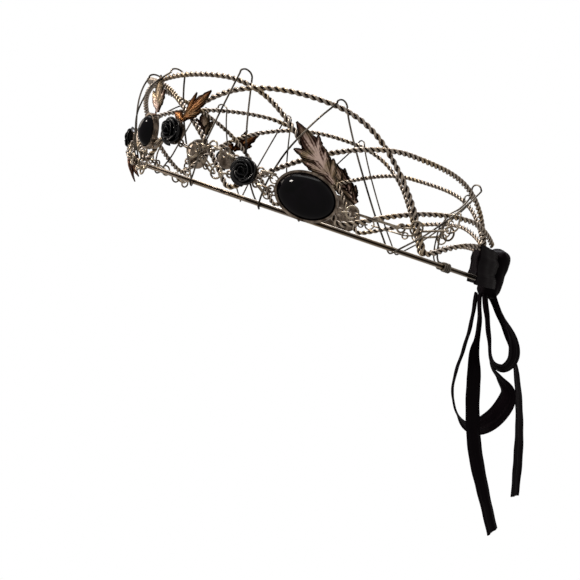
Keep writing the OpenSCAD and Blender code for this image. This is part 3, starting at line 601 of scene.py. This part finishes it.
# %% From the bench to the wall
BEZEL_H, PLATE_T, STONE_GAP, LEAF_T = 2.6, 0.8, 0.1, 1.0
LEAF_BACK = ROPE_REACH + GAP                 # leaves lie on the arches
SEAT_OUT = LEAF_BACK + LEAF_T + GAP          # settings and rose plates lie on the leaves


def points_of(piece):
    flat = np.empty(len(piece.data.vertices) * 3)
    piece.data.vertices.foreach_get("co", flat)
    return flat.reshape(-1, 3)


def move_points(piece, points):
    piece.data.vertices.foreach_set("co", np.asarray(points, float).ravel())
    piece.data.update()


def in_edit_mode(piece, work):
    select_only(piece)
    bpy.ops.object.mode_set(mode="EDIT")
    bpy.ops.mesh.select_all(action="SELECT")
    work()
    bpy.ops.object.mode_set(mode="OBJECT")


def copy_of(piece):
    select_only(piece)
    bpy.ops.object.duplicate()
    return bpy.context.object


def apply_modifier(piece, kind, **settings):
    select_only(piece)
    made = piece.modifiers.new(kind.lower(), kind)
    for key, value in settings.items():
        setattr(made, key, value)
    bpy.ops.object.modifier_apply(modifier=made.name)


def set_on_wall(piece, place, out, sign=1):
    """A place is an angle round the band, a share of the crown's height and a turn in degrees."""
    a, share, turn = place
    c, s = math.cos(math.radians(turn)), math.sin(math.radians(turn))
    p = points_of(piece) @ np.array([[c, s, 0], [-s, c, 0], [0, 0, 1]])
    axes = np.array([backward(a), upward(a), np.cross(backward(a), upward(a))])
    move_points(piece, worn((wall(a, share * CROWN_H, out) + p @ axes) * [sign, 1, 1]))
    if sign < 0:
        in_edit_mode(piece, bpy.ops.mesh.flip_normals)
    return piece


print("leaves lie", round(LEAF_BACK, 2), "mm outside the wall, settings", round(SEAT_OUT, 2), "mm")

# %% [markdown]
# ## Cabochons
# A cabochon is ground on a wheel to an oval dome and polished, never faceted. We start from a
# sphere, cut it in half with a bisecting plane that also fills the cut, and scale it to the
# stone's length, width and height.

# %% Domed stones
# Kind, place on the wall, and length, width and height above the bezel in millimetres
CABOCHONS = [("side", (93, 0.185, -6), (25, 18, 4.6)),
             ("front", (39, 0.31, 0), (10, 14, 3.8))]


def cabochon(length, width, height):
    select_only()
    bpy.ops.mesh.primitive_uv_sphere_add(segments=96, ring_count=48, radius=1)
    piece = bpy.context.object
    in_edit_mode(piece, lambda: bpy.ops.mesh.bisect(plane_co=(0, 0, 0), plane_no=(0, 0, 1),
                                                    use_fill=True, clear_inner=True))
    depth = height + BEZEL_H - PLATE_T
    move_points(piece, points_of(piece) * [length / 2, width / 2, depth]
                + [0, 0, PLATE_T + STONE_GAP])
    bpy.ops.object.shade_smooth_by_angle(angle=math.radians(50))
    return piece


for kind, place, size in CABOCHONS:
    bench = cabochon(*size)
    for side, sign in SIDES:
        stone = set_on_wall(copy_of(bench), place, SEAT_OUT, sign)
        finish_piece(stone, f"{kind}_cabochon_{side}", STONE,
                     [f"{kind}_stone_{side}"])
    bpy.data.objects.remove(bench)
    print(kind, "cabochons of", size[0], "x", size[1], "mm")

# %% [markdown]
# ## Roses
# The roses are moulded: rings of petals that overlap and roll outwards at the lip, round a tight
# bud. One petal starts as a grid. We wrap it round the flower's axis, open it towards the lip,
# lower its corners, then give it thickness and one subdivision. Rings of such petals, each ring
# turned so that it covers the gaps of the one below, make the flower. One rose is modelled and
# then copied to its five places.

# %% One petal
ROSE_SEAT, PETAL_T = PLATE_T + STONE_GAP, 0.42


def petal(foot_r, lip_r, foot_h, lip_h, span, turn, curl, tuck):
    """Curl rolls the lip outwards, and tuck slips one edge under the next petal."""
    select_only()
    bpy.ops.mesh.primitive_grid_add(x_subdivisions=10, y_subdivisions=8, size=2)
    piece = bpy.context.object
    u, v, _ = points_of(piece).T                                 # across, -1 to 1
    v = (v + 1) / 2                                              # from foot to lip, 0 to 1
    lip = np.clip((v - 0.7) / 0.3, 0, 1)                         # only the top third curls
    corner = 1 - 0.3 * np.abs(u) ** 2.4 + 0.05 * np.cos(3.2 * u)
    r = foot_r + (lip_r - foot_r) * v ** 1.3 + curl * lip ** 2 + tuck * u * (0.3 + 0.7 * v)
    h = foot_h + (lip_h - foot_h) * v * corner - curl * 0.5 * lip ** 3
    angle = np.radians(turn + span / 2 * u * (0.7 + 0.3 * v))
    move_points(piece, np.stack([r * np.cos(angle), r * np.sin(angle), h + ROSE_SEAT], 1))
    apply_modifier(piece, "SOLIDIFY", thickness=PETAL_T, offset=0)
    in_edit_mode(piece, lambda: bpy.ops.mesh.normals_make_consistent(inside=False))
    apply_modifier(piece, "SUBSURF", levels=1, render_levels=1)
    return piece


print("a petal is", PETAL_T, "mm thick")


# %% One rose
CUP_H = 2.2                                  # mm, the cup that holds the petals' feet
# Petals in a ring, radius of foot and lip, height of foot and lip, the degrees that a petal
# spans, the turn of the ring, curl and tuck
PETAL_RINGS = [(5, 3.1, 5.15, 0.35, 2.9, 98, 12, 0.7, 0.45),
               (4, 2.5, 4.1, 0.7, 4.2, 118, 46, 0.62, 0.45),
               (3, 1.6, 2.8, 1.0, 5.1, 150, 15, 0.45, 0.4),
               (2, 0.7, 1.4, 1.5, 5.5, 200, 65, 0.2, 0.3)]


def rose():
    petals = []
    for count, foot_r, lip_r, foot_h, lip_h, span, turn, curl, tuck in PETAL_RINGS:
        for k in range(count):
            sway = math.sin(2.6 * k + turn)                      # no two petals are alike
            petals.append(petal(foot_r, lip_r * (1 + 0.05 * sway), foot_h, lip_h - 0.3 * sway,
                                span * (1 + 0.08 * sway), turn + 360 * k / count + 7 * sway,
                                curl, tuck))
    select_only()
    bpy.ops.mesh.primitive_cone_add(vertices=40, radius1=3.9, radius2=2.2, depth=CUP_H,
                                    location=(0, 0, ROSE_SEAT + CUP_H / 2))
    cup = bpy.context.object
    apply_modifier(cup, "BEVEL", width=0.4, segments=3)
    piece = joined([cup] + petals)
    bpy.ops.object.shade_smooth()
    return piece


# %% Five roses
bench = rose()
ROSES = [("rose_centre", (0, 0.22, 0), 1)]
for side, sign in SIDES:
    ROSES += [("rose_front_" + side, (51, 0.365, 0), sign),
              ("rose_side_" + side, (76, 0.22, 0), sign)]
for name, place, sign in ROSES:
    flower = set_on_wall(copy_of(bench), place, SEAT_OUT, sign)
    finish_piece(flower, "petals_" + name, RESIN, [name])
print("rose:", len(bench.data.polygons), "faces,", len(ROSES), "copies")
bpy.data.objects.remove(bench)

# %% [markdown]
# ## Leaves
# The leaves are cast: pointed lobes that fan out from a midrib, with a sharp ridge along each lobe
# and veins that slant away from it. Each lobe starts as a grid, is drawn to the lobe's outline,
# and its middle is raised. The height also goes into an attribute, and by it the finish paints a
# highlight on the ridges and shade in the grooves, and turns darker towards each lobe's tip.

# %% Cast leaf materials
def cast_leaf(name, deep, middle, bright, patch_deep, patch_bright):
    finish, tree, shader = new_material(name)
    place = add_node(tree, "ShaderNodeTexCoord")
    relief = add_node(tree, "ShaderNodeAttribute", {"attribute_name": "relief"})
    grain = add_node(tree, "ShaderNodeTexNoise", Vector=place.outputs["Object"],
                     Scale=900, Detail=3)                        # casting grain, 1.1 mm
    height = add_node(tree, "ShaderNodeMath", {"operation": "MULTIPLY_ADD"},
                      i0=grain.outputs["Fac"], i1=0.5, i2=relief.outputs["Fac"])
    # Dark in the grooves and bright on the ridges: painted shade and a painted highlight
    clean = add_node(tree, "ShaderNodeValToRGB", i0=height.outputs["Value"],
                     stops=[(0.35, deep), (0.75, middle), (1.15, bright)])
    tarnished = add_node(tree, "ShaderNodeValToRGB", i0=height.outputs["Value"],
                         stops=[(0.35, patch_deep), (1.1, patch_bright)])
    patches = add_node(tree, "ShaderNodeTexNoise", Vector=place.outputs["Object"],
                       Scale=130, Detail=2)                      # tarnish patches of 8 mm
    tarnish = add_node(tree, "ShaderNodeMapRange", Value=patches.outputs["Fac"],
                       i1=0.45, i2=0.62)                         # clean below, tarnished above
    mixed = add_node(tree, "ShaderNodeMix", {"data_type": "RGBA"}, i0=tarnish.outputs["Result"],
                     i6=clean.outputs["Color"], i7=tarnished.outputs["Color"])
    tree.links.new(mixed.outputs[2], shader.inputs["Base Color"])
    mark_surface(tree, shader, grain.outputs["Fac"], 0.24, 0.46, 0.5, 0.00015)
    shader.inputs["Metallic"].default_value = 1.0
    return finish


PEWTER_LEAF = cast_leaf("cast_pewter_leaf", "#100908", "#5c433a", "#e0c6ba", "#15100b", "#a08c72")
COPPER_LEAF = cast_leaf("cast_copper_leaf", "#3a2019", "#93604f", "#e6c0b2", "#341d14", "#b28468")
# The amber tones of this leaf are a painted warm reflection.
AMBER_LEAF = cast_leaf("amber_bronze_leaf", "#170a05", "#54301a", "#a06f45", "#18110a", "#75593b")
print("made", PEWTER_LEAF.name + ",", COPPER_LEAF.name, "and", AMBER_LEAF.name)

# %% The lobes of each leaf
# Start along the midrib, direction in degrees, length and width, as shares of the leaf's length
SIDE_LOBES = [(0, 0, 1, 0.30), (0.43, -32, 0.30, 0.14), (0.26, -34, 0.26, 0.13),
              (0.07, -36, 0.29, 0.13), (0.35, 33, 0.42, 0.16), (0.13, 30, 0.44, 0.16)]
AMBER_LOBES = [(0, 0, 1, 0.32), (0.12, 24, 0.58, 0.17), (0.10, -24, 0.48, 0.20),
               (0.02, 110, 0.32, 0.24)]
FRONT_LOBES = [(0, 0, 1, 0.50), (0.10, 34, 0.60, 0.30), (0.10, -34, 0.60, 0.30)]
CENTRE_LOBES = [(0, 0, 1, 0.42), (0, 27, 0.9, 0.42), (0, -27, 0.9, 0.42),
                (0, 56, 0.66, 0.38), (0, -56, 0.66, 0.38)]
# How wide a lobe is on its way from foot to tip, as shares of its full width
BLADE_SHARES, BLADE_SIZES = (0, 0.18, 0.4, 0.64, 0.84, 1), (0.3, 0.72, 1, 0.84, 0.48, 0.05)
CENTRE_BULGE = 4.0                           # mm that the centre leaf's foot stands out
TEETH, VEINS, VEIN_SLANT = 6, 3.4, 3         # along a lobe's edge, down its length, and slant
SHELL_T, LOBE_LIFT = 0.3, 0.05               # mm of metal, and mm that a lobe lies over the last
print("lobes of the side leaf:", len(SIDE_LOBES))


# %% One lobe
def lobe(start, direction, length, width, leaf_length, bulge, above):
    select_only()
    bpy.ops.mesh.primitive_grid_add(x_subdivisions=32, y_subdivisions=36, size=2)
    piece = bpy.context.object
    u, v, _ = points_of(piece).T                                 # across, -1 to 1
    v = (v + 1) / 2                                              # from foot to tip, 0 to 1
    fine = np.linspace(0, 1, 41)
    sizes = np.convolve(np.pad(np.interp(fine, BLADE_SHARES, BLADE_SIZES), 2, mode="edge"),
                        np.ones(5) / 5, "valid")                 # the outline, smoothed
    size = np.interp(v, fine, sizes)
    teeth = 1 + 0.07 * np.abs(u) ** 3 * np.cos(2 * math.pi * TEETH * v)
    veins = np.cos(2 * math.pi * (VEINS * v - VEIN_SLANT * np.abs(u)))
    relief = (1 - np.abs(u)) ** 0.8 + 0.36 * veins * np.sqrt(np.abs(u))
    x = u * width * leaf_length / 2 * size * teeth
    y = v * length * leaf_length
    z = LEAF_T * (0.22 + 0.7 * np.sqrt(size) * np.clip(relief, 0, 1.1)) + above
    z += bulge * (1 - v ** 2.2) * (1 - 0.15 * u ** 2)
    c, s = math.cos(math.radians(direction)), math.sin(math.radians(direction))
    move_points(piece, np.stack([x * c - y * s, x * s + y * c + start * leaf_length, z], 1))
    # The finish paints by this relief: shade low, a highlight high, and darker towards the tip
    mark = piece.data.attributes.new("relief", "FLOAT", "POINT")
    mark.data.foreach_set("value", np.clip(relief, 0, 1) * (0.85 - 0.4 * v ** 3))
    apply_modifier(piece, "SOLIDIFY", thickness=SHELL_T, offset=-1)
    return piece


# %% Whole leaves
def leaf(lobes, length, bulge=0.0, tip_in=0.0):
    """Each lobe lies a little above the last, and the tip turns in by a few degrees."""
    piece = joined([lobe(*row, length, bulge, LOBE_LIFT * i) for i, row in enumerate(lobes)])
    p = points_of(piece)
    p[:, 2] -= p[:, 1] * math.tan(math.radians(tip_in))
    move_points(piece, p)
    bpy.ops.object.shade_smooth_by_angle(angle=math.radians(60))
    return piece


# Node, lobes, length in mm, degrees that the tip turns in, place on the wall, finish
LEAVES = [("side_leaf", SIDE_LOBES, 29.5, 2, (99.8, 0.364, 50), PEWTER_LEAF),
          ("amber_leaf", AMBER_LOBES, 20, 0, (52.5, 0.483, -41), AMBER_LEAF),
          ("front_leaf", FRONT_LOBES, 16.5, 0, (39.5, 0.49, 10), PEWTER_LEAF)]
for kind, lobes, length, tip_in, place, finish in LEAVES:
    bench = leaf(lobes, length, tip_in=tip_in)
    for side, sign in SIDES:
        piece = set_on_wall(copy_of(bench), place, LEAF_BACK, sign)
        finish_piece(piece, f"cast_{kind}_{side}", finish,
                     [f"{kind}_{side}"])
    bpy.data.objects.remove(bench)
    print(kind, "modelled,", length, "mm long")
piece = set_on_wall(leaf(CENTRE_LOBES, 15, CENTRE_BULGE), (0, 0.11, 180), LEAF_BACK)
finish_piece(piece, "cast_centre_leaf", COPPER_LEAF, ["centre_leaf"])
print("centre leaf:", len(piece.data.polygons), "faces")

# %% [markdown]
# ## The satin ribbon
# One ribbon holds the circlet shut. Near the knot it is gathered, so it looks narrow and shows
# folds along its length; further off it opens. A strip of cloth is modelled as a grid laid along
# a route: the route gives its middle, the width table how far it is gathered, and what is lost in
# width goes into folds, so that the cloth keeps its area. A ribbon hangs or lies as it was tied,
# so there is no simulation: gravity shows in the route.

# %% Sizes of the ribbon and its knot
RIBBON_W, FOLD_W, CLOTH_T = 10, 18.5, 0.5
KNOT_W, KNOT_D, KNOT_H = 15.0, 11.0, 24.0
KNOT_WRAP = 10.5                             # mm of cloth from the knot's middle to its foot
KNOT_MIDDLE = wall(180, 4.5, 2.5)
KNOT_AT = worn(KNOT_MIDDLE)[0] / MM
KNOT_FOOT = worn(KNOT_MIDDLE - [0, 0, KNOT_H / 2 + GAP])[0] / MM
CLOTH_STEP = 0.9                             # mm between the rows of points along a strip
FOLD_SHARE = 0.775                           # two waves are steeper than one, so both are lower
print("the ribbon leaves the knot at", KNOT_FOOT.round(1), "mm")


# %% A strip of cloth along a route
def strip_of_cloth(middles, across, flat_width, widths, folds, phase):
    """Middles are in mm, across is a direction, and widths has shares of the way and mm."""
    along = lengths_along(middles)
    count = max(8, int(along[-1] / CLOTH_STEP))
    select_only()
    bpy.ops.mesh.primitive_grid_add(x_subdivisions=30, y_subdivisions=count, size=2,
                                    calc_uvs=False)
    piece = bpy.context.object
    u, v, _ = points_of(piece).T                                 # across, -1 to 1
    share = (v + 1) / 2                                          # along, 0 to 1
    place = share * along[-1]
    t = unit_rows(np.gradient(middles, axis=0))
    across = unit_rows(across - (across * t).sum(1)[:, None] * t)
    side = unit_rows(read_at(place, along, across))
    face = unit_rows(np.cross(side, read_at(place, along, t)))
    shown = np.interp(share, *zip(*widths))
    # A wave whose slope makes up for the width that is lost, a smaller one that isn't in step
    # with it, and faint creases
    spare = np.sqrt(np.clip((flat_width / shown) ** 2 - 1, 0, None))
    depth = spare * shown / (2 * math.pi * folds) * FOLD_SHARE
    wave = np.cos(math.pi * folds * u + phase + 1.5 * share) - 0.35 * np.cos(
        2.3 * math.pi * folds * u + 2.1 * phase)
    crease = 0.12 * np.sin(0.55 * place + 2 * phase + 1.3 * u) * np.cos(0.9 * u)
    move_points(piece, (read_at(place, along, middles) + side * (u * shown / 2)[:, None]
                        + face * (depth * wave + crease)[:, None]) * MM)
    chart = piece.data.uv_layers.new(name="ribbon")
    corner = np.array([loop.vertex_index for loop in piece.data.loops])
    chart.data.foreach_set("uv", np.stack([u[corner] * flat_width / 2 * MM,
                                           place[corner] * MM], 1).ravel())
    apply_modifier(piece, "SOLIDIFY", thickness=CLOTH_T * MM, offset=0)
    bpy.ops.object.shade_smooth_by_angle(angle=math.radians(50))
    print("strip:", round(along[-1], 1), "mm long,", flat_width, "mm wide")
    return piece, along[-1]


# %% The routes of the loops and tails
# Sideways, backwards and upwards from the knot's foot in mm, and the degrees that the ribbon is
# turned about its own length. Every route begins inside the knot, and the loops end there too.
LOOP_LEFT = [(5, 3.6, 2.2, 0), (7, 8, -9, 10), (8.5, 12, -18, 30), (9, 12.5, -27, 40),
             (8, 8, -32, 30), (7, 3, -29, 10), (6, 1.5, -20, 0), (5, 0.5, -10, 0), (5, -1, 2.5, 0)]
LOOP_RIGHT = [(-5, -3.8, 2.5, 0), (-8, -6, -12, 0), (-10, -9.5, -25, 0), (-12, -13.5, -38, 0),
              (-12.5, -14.5, -48, 0), (-11, -12, -57, 0), (-9, -7.5, -61.5, 20),
              (-7, -1.5, -61.5, 50), (-5, 5, -57, 65), (-4, 10, -50, 60), (-4, 11, -44, 40),
              (-5, 7, -38, 15), (-6, 3.5, -31, 0), (-5.5, 2.2, -15, 0), (-5, 0.6, 2.2, 0)]
TAIL_LEFT = [(3, -2.6, 2.4, 0), (3.5, -2.8, -13, 15), (4, -5, -25, 40), (5, -5.2, -35, 45),
             (5, -5.8, -49, 45), (5, -5.4, -63, 45), (5, -4, -75, 45), (4, -1.5, -87, 40),
             (4, 1, -98, 35), (3, 3.8, -110, 35)]
TAIL_RIGHT = [(-5, 2.2, 2.2, 0), (-6, 8, -11, 0), (-7, 13, -25, 10), (-8, 16, -41, 20),
              (-8, 17, -59, 25), (-8, 16.5, -77, 30), (-7, 15, -95, 25)]


def along_route(route):
    """The ribbon's middle line and its direction across, for one route."""
    rows = smooth_through(np.array(route, float), 8)
    t = unit_rows(np.gradient(rows[:, :3], axis=0))
    side = unit_rows(np.array([1.0, 0, 0]) - t[:, :1] * t)
    turn = np.radians(rows[:, 3:4])
    return KNOT_FOOT + rows[:, :3], np.cos(turn) * side + np.sin(turn) * np.cross(t, side)


# %% Loops and tails
# Node, route, shares of the way with the width that shows there in mm, folds across the ribbon,
# and how far the folds are shifted sideways
RIBBONS = [("ribbon_loop_left", LOOP_LEFT,
            [(0, 6), (0.3, 9), (0.6, 9.5), (0.8, 7), (1, 5)], 2, 0.4),
           ("ribbon_loop_right", LOOP_RIGHT,
            [(0, 5), (0.2, 8), (0.5, 9.6), (0.8, 9), (1, 5)], 2, 1.7),
           ("ribbon_tail_left", TAIL_LEFT,
            [(0, 5), (0.2, 7.5), (0.35, 9.7), (1, 9.4)], 1.5, 0.9),
           ("ribbon_tail_right", TAIL_RIGHT,
            [(0, 5), (0.25, 8), (0.5, 9.7), (1, 9.4)], 1.5, 2.6)]
for name, route, widths, folds, phase in RIBBONS:
    piece, length = strip_of_cloth(*along_route(route), RIBBON_W, widths, folds, phase)
    finish_piece(piece, "satin_" + name.replace("ribbon_", ""), SATIN, [name])

# %% [markdown]
# ## Folds and knot
# Where the wires end, the ribbon is folded round them and drawn into the knot. The folds are the
# same strip of cloth, wide and pinched, laid out along the wires and back again inside. The knot
# is a bundle: we shape a sphere to its block, and press slanting grooves into it where one turn
# of ribbon passes over the next.

# %% Folds round the wire ends
# Degrees round the band where the outer and the inner layer start and where both turn, how many
# degrees the turn takes, and how high the middle of the cloth lies in mm
FOLD_FROM, FOLD_INNER, FOLD_TIP, FOLD_BULGE, FOLD_UP = 152.0, 163.0, 174.3, 2.0, 6.0
FOLD_OUT = ROPE_REACH + GAP + 0.5            # middle of the cloth, clear of the wires


def fold_route(sign):
    """Back along the outside of the wires, round their ends, and forwards again inside."""
    to = FOLD_TIP - FOLD_BULGE
    turn = np.radians(np.arange(0, 181, 15))
    path = [wall(a, FOLD_UP, FOLD_OUT) for a in np.arange(FOLD_FROM, to, 1.0)]
    path += [wall(to + FOLD_BULGE * math.sin(k), FOLD_UP, FOLD_OUT * math.cos(k)) for k in turn]
    path += [wall(a, FOLD_UP, -FOLD_OUT) for a in np.arange(FOLD_INNER, to, 1.0)[::-1]]
    slant = unit(worn([0, -math.tan(math.radians(LEAN)), 1])[0])
    return worn(np.array(path) * [sign, 1, 1]) / MM, np.tile(slant, (len(path), 1))


for side, sign in SIDES:
    piece, length = strip_of_cloth(*fold_route(sign), FOLD_W,
                                   [(0, 18), (0.5, 16.5), (1, 18)], 2, 0.6)
    finish_piece(piece, "satin_fold_" + side, SATIN, ["ribbon_fold_" + side])


# %% The knot
def knot():
    """A sphere drawn out to a block with full shoulders, and pressed in between the turns."""
    select_only()
    bpy.ops.mesh.primitive_uv_sphere_add(segments=96, ring_count=64, radius=1)
    piece = bpy.context.object
    p = points_of(piece)
    h = p[:, 2]
    round_share = (1 - np.abs(h) ** 9) ** 0.5 / np.sqrt(np.clip(1 - h * h, 1e-4, 1))
    p = p * np.stack([round_share, round_share, np.ones(len(p))], 1)
    around = np.arctan2(p[:, 1], p[:, 0])
    slant = np.sin(2 * around + 4.2 * h + 0.5) + 0.5 * np.sin(5 * around - 3 * h)
    pleats = np.abs(np.sin(7 * h + 1.2 * np.sin(around)))
    groove = 1 - 0.045 * (1 - np.abs(slant)) - 0.012 * pleats    # as shares of the radius
    p = p * groove[:, None] * [KNOT_W / 2, KNOT_D / 2, KNOT_H / 2]
    chart = piece.data.uv_layers[0]
    chart.name = "ribbon"
    corner = np.array([loop.vertex_index for loop in piece.data.loops])
    mean_r = (KNOT_W + KNOT_D) / 4                               # turns an angle into mm of cloth
    chart.data.foreach_set("uv", np.stack([h[corner] * KNOT_WRAP * MM,
                                           around[corner] * mean_r * MM], 1).ravel())
    move_points(piece, worn(p) + KNOT_AT * MM)
    bpy.ops.object.shade_smooth()
    return piece


piece = finish_piece(knot(), "satin_knot", SATIN, ["ribbon_knot"])
print("knot:", len(piece.data.polygons), "faces")

# %% [markdown]
# ## Metal that is already right
# The settings, the rose plates and the chains have their true shape in the solid part, so they
# only get their finish.

# %% Finish the solid metal pieces
SOLID_FINISHES = {"setting": SETTING_METAL, "plate": SETTING_METAL, "chain": LINK_METAL}
kept = [(name, finish) for name in nodes for word, finish in SOLID_FINISHES.items()
        if word in name]
for name, finish in kept:
    set_material(name, finish)
print("solid nodes that only get their finish:", len(kept))

# %% [markdown]
# ## Camera, light and floor
# The photograph looks at the circlet's left side, level with the band and a little from behind.
# Everything behind the object is white, as in a studio where the backdrop gets so much light that
# it shows no tone. The object itself stands in a dimmer room of one even tone: polished metal and
# black stone show what is round them, and in a white room they would look chalky. One small lamp
# gives each stone its point of light, and large soft ones draw out the cloth and the petals.

# %% Camera
CAMERA_TURN, CAMERA_UP, CAMERA_AWAY = math.radians(97), math.radians(1.741), 0.5
LENS_MM, SENSOR_MM = 64.24, 36
aim = Vector((0, -0.01068, -0.03274))
away = Vector((math.sin(CAMERA_TURN) * math.cos(CAMERA_UP),
               -math.cos(CAMERA_TURN) * math.cos(CAMERA_UP), math.sin(CAMERA_UP)))
bpy.ops.object.camera_add(location=aim + away * CAMERA_AWAY,
                          rotation=(-away).to_track_quat("-Z", "Y").to_euler())
camera = bpy.context.object
camera.name = "camera"
camera.data.sensor_width = SENSOR_MM
camera.data.lens = LENS_MM
camera.data.clip_start = 0.01
bpy.context.scene.camera = camera
print("camera at", [round(x, 3) for x in camera.location])

# %% White backdrop and floor
ROOM_TONE, ROOM_LIGHT, FLOOR_Z = "#d8d4d0", 0.7, -0.2


def white_to_the_camera(tree, output):
    """The camera sees pure white, and the object sees an even, dimmer room."""
    path = add_node(tree, "ShaderNodeLightPath")
    white = add_node(tree, "ShaderNodeEmission", Color=(1, 1, 1, 1), Strength=1.0)
    dim = add_node(tree, "ShaderNodeEmission", Color=hex_colour(ROOM_TONE), Strength=ROOM_LIGHT)
    chosen = add_node(tree, "ShaderNodeMixShader", i0=path.outputs["Is Camera Ray"],
                      i1=dim.outputs[0], i2=white.outputs[0])
    tree.links.new(chosen.outputs[0], output)


bpy.ops.mesh.primitive_plane_add(size=12, location=(0, 0, FLOOR_Z))
floor = bpy.context.object
floor.name = "floor"
paper, paper_tree, _ = new_material("lit_white_paper")
white_to_the_camera(paper_tree, paper_tree.nodes["Material Output"].inputs["Surface"])
floor.data.materials.append(paper)

room = bpy.context.scene.world or bpy.data.worlds.new("room")
bpy.context.scene.world = room
room.use_nodes = True
white_to_the_camera(room.node_tree, room.node_tree.nodes["World Output"].inputs["Surface"])
bpy.context.scene.view_settings.view_transform = "Standard"      # keeps white at full white
print("the floor lies", -FLOOR_Z, "m below the middle of the band")

# %% Lamps
# Name, turn from the front and height in degrees, distance and size in metres, watts, tint
LAMPS = [("window_lamp", 49, 52, 1.3, 0.2, 9, "#fff8f0"),
         ("ceiling_light", 255, 72, 1.6, 1.4, 14, "#ffffff"),
         ("front_light", -15, 32, 1.5, 0.8, 8, "#fff4e8"),
         ("far_light", 270, 40, 1.6, 0.9, 9, "#f4f6ff")]
for name, turn, up, away_m, size_m, watts, tint in LAMPS:
    a, e = math.radians(turn), math.radians(up)
    towards = Vector((math.sin(a) * math.cos(e), -math.cos(a) * math.cos(e), math.sin(e)))
    bpy.ops.object.light_add(type="AREA", location=aim + towards * away_m,
                             rotation=(-towards).to_track_quat("-Z", "Y").to_euler())
    lamp = bpy.context.object
    lamp.name = name
    lamp.data.shape = "DISK"
    lamp.data.size = size_m
    lamp.data.energy = watts
    lamp.data.color = hex_colour(tint)[:3]
print("lamps:", len(LAMPS))
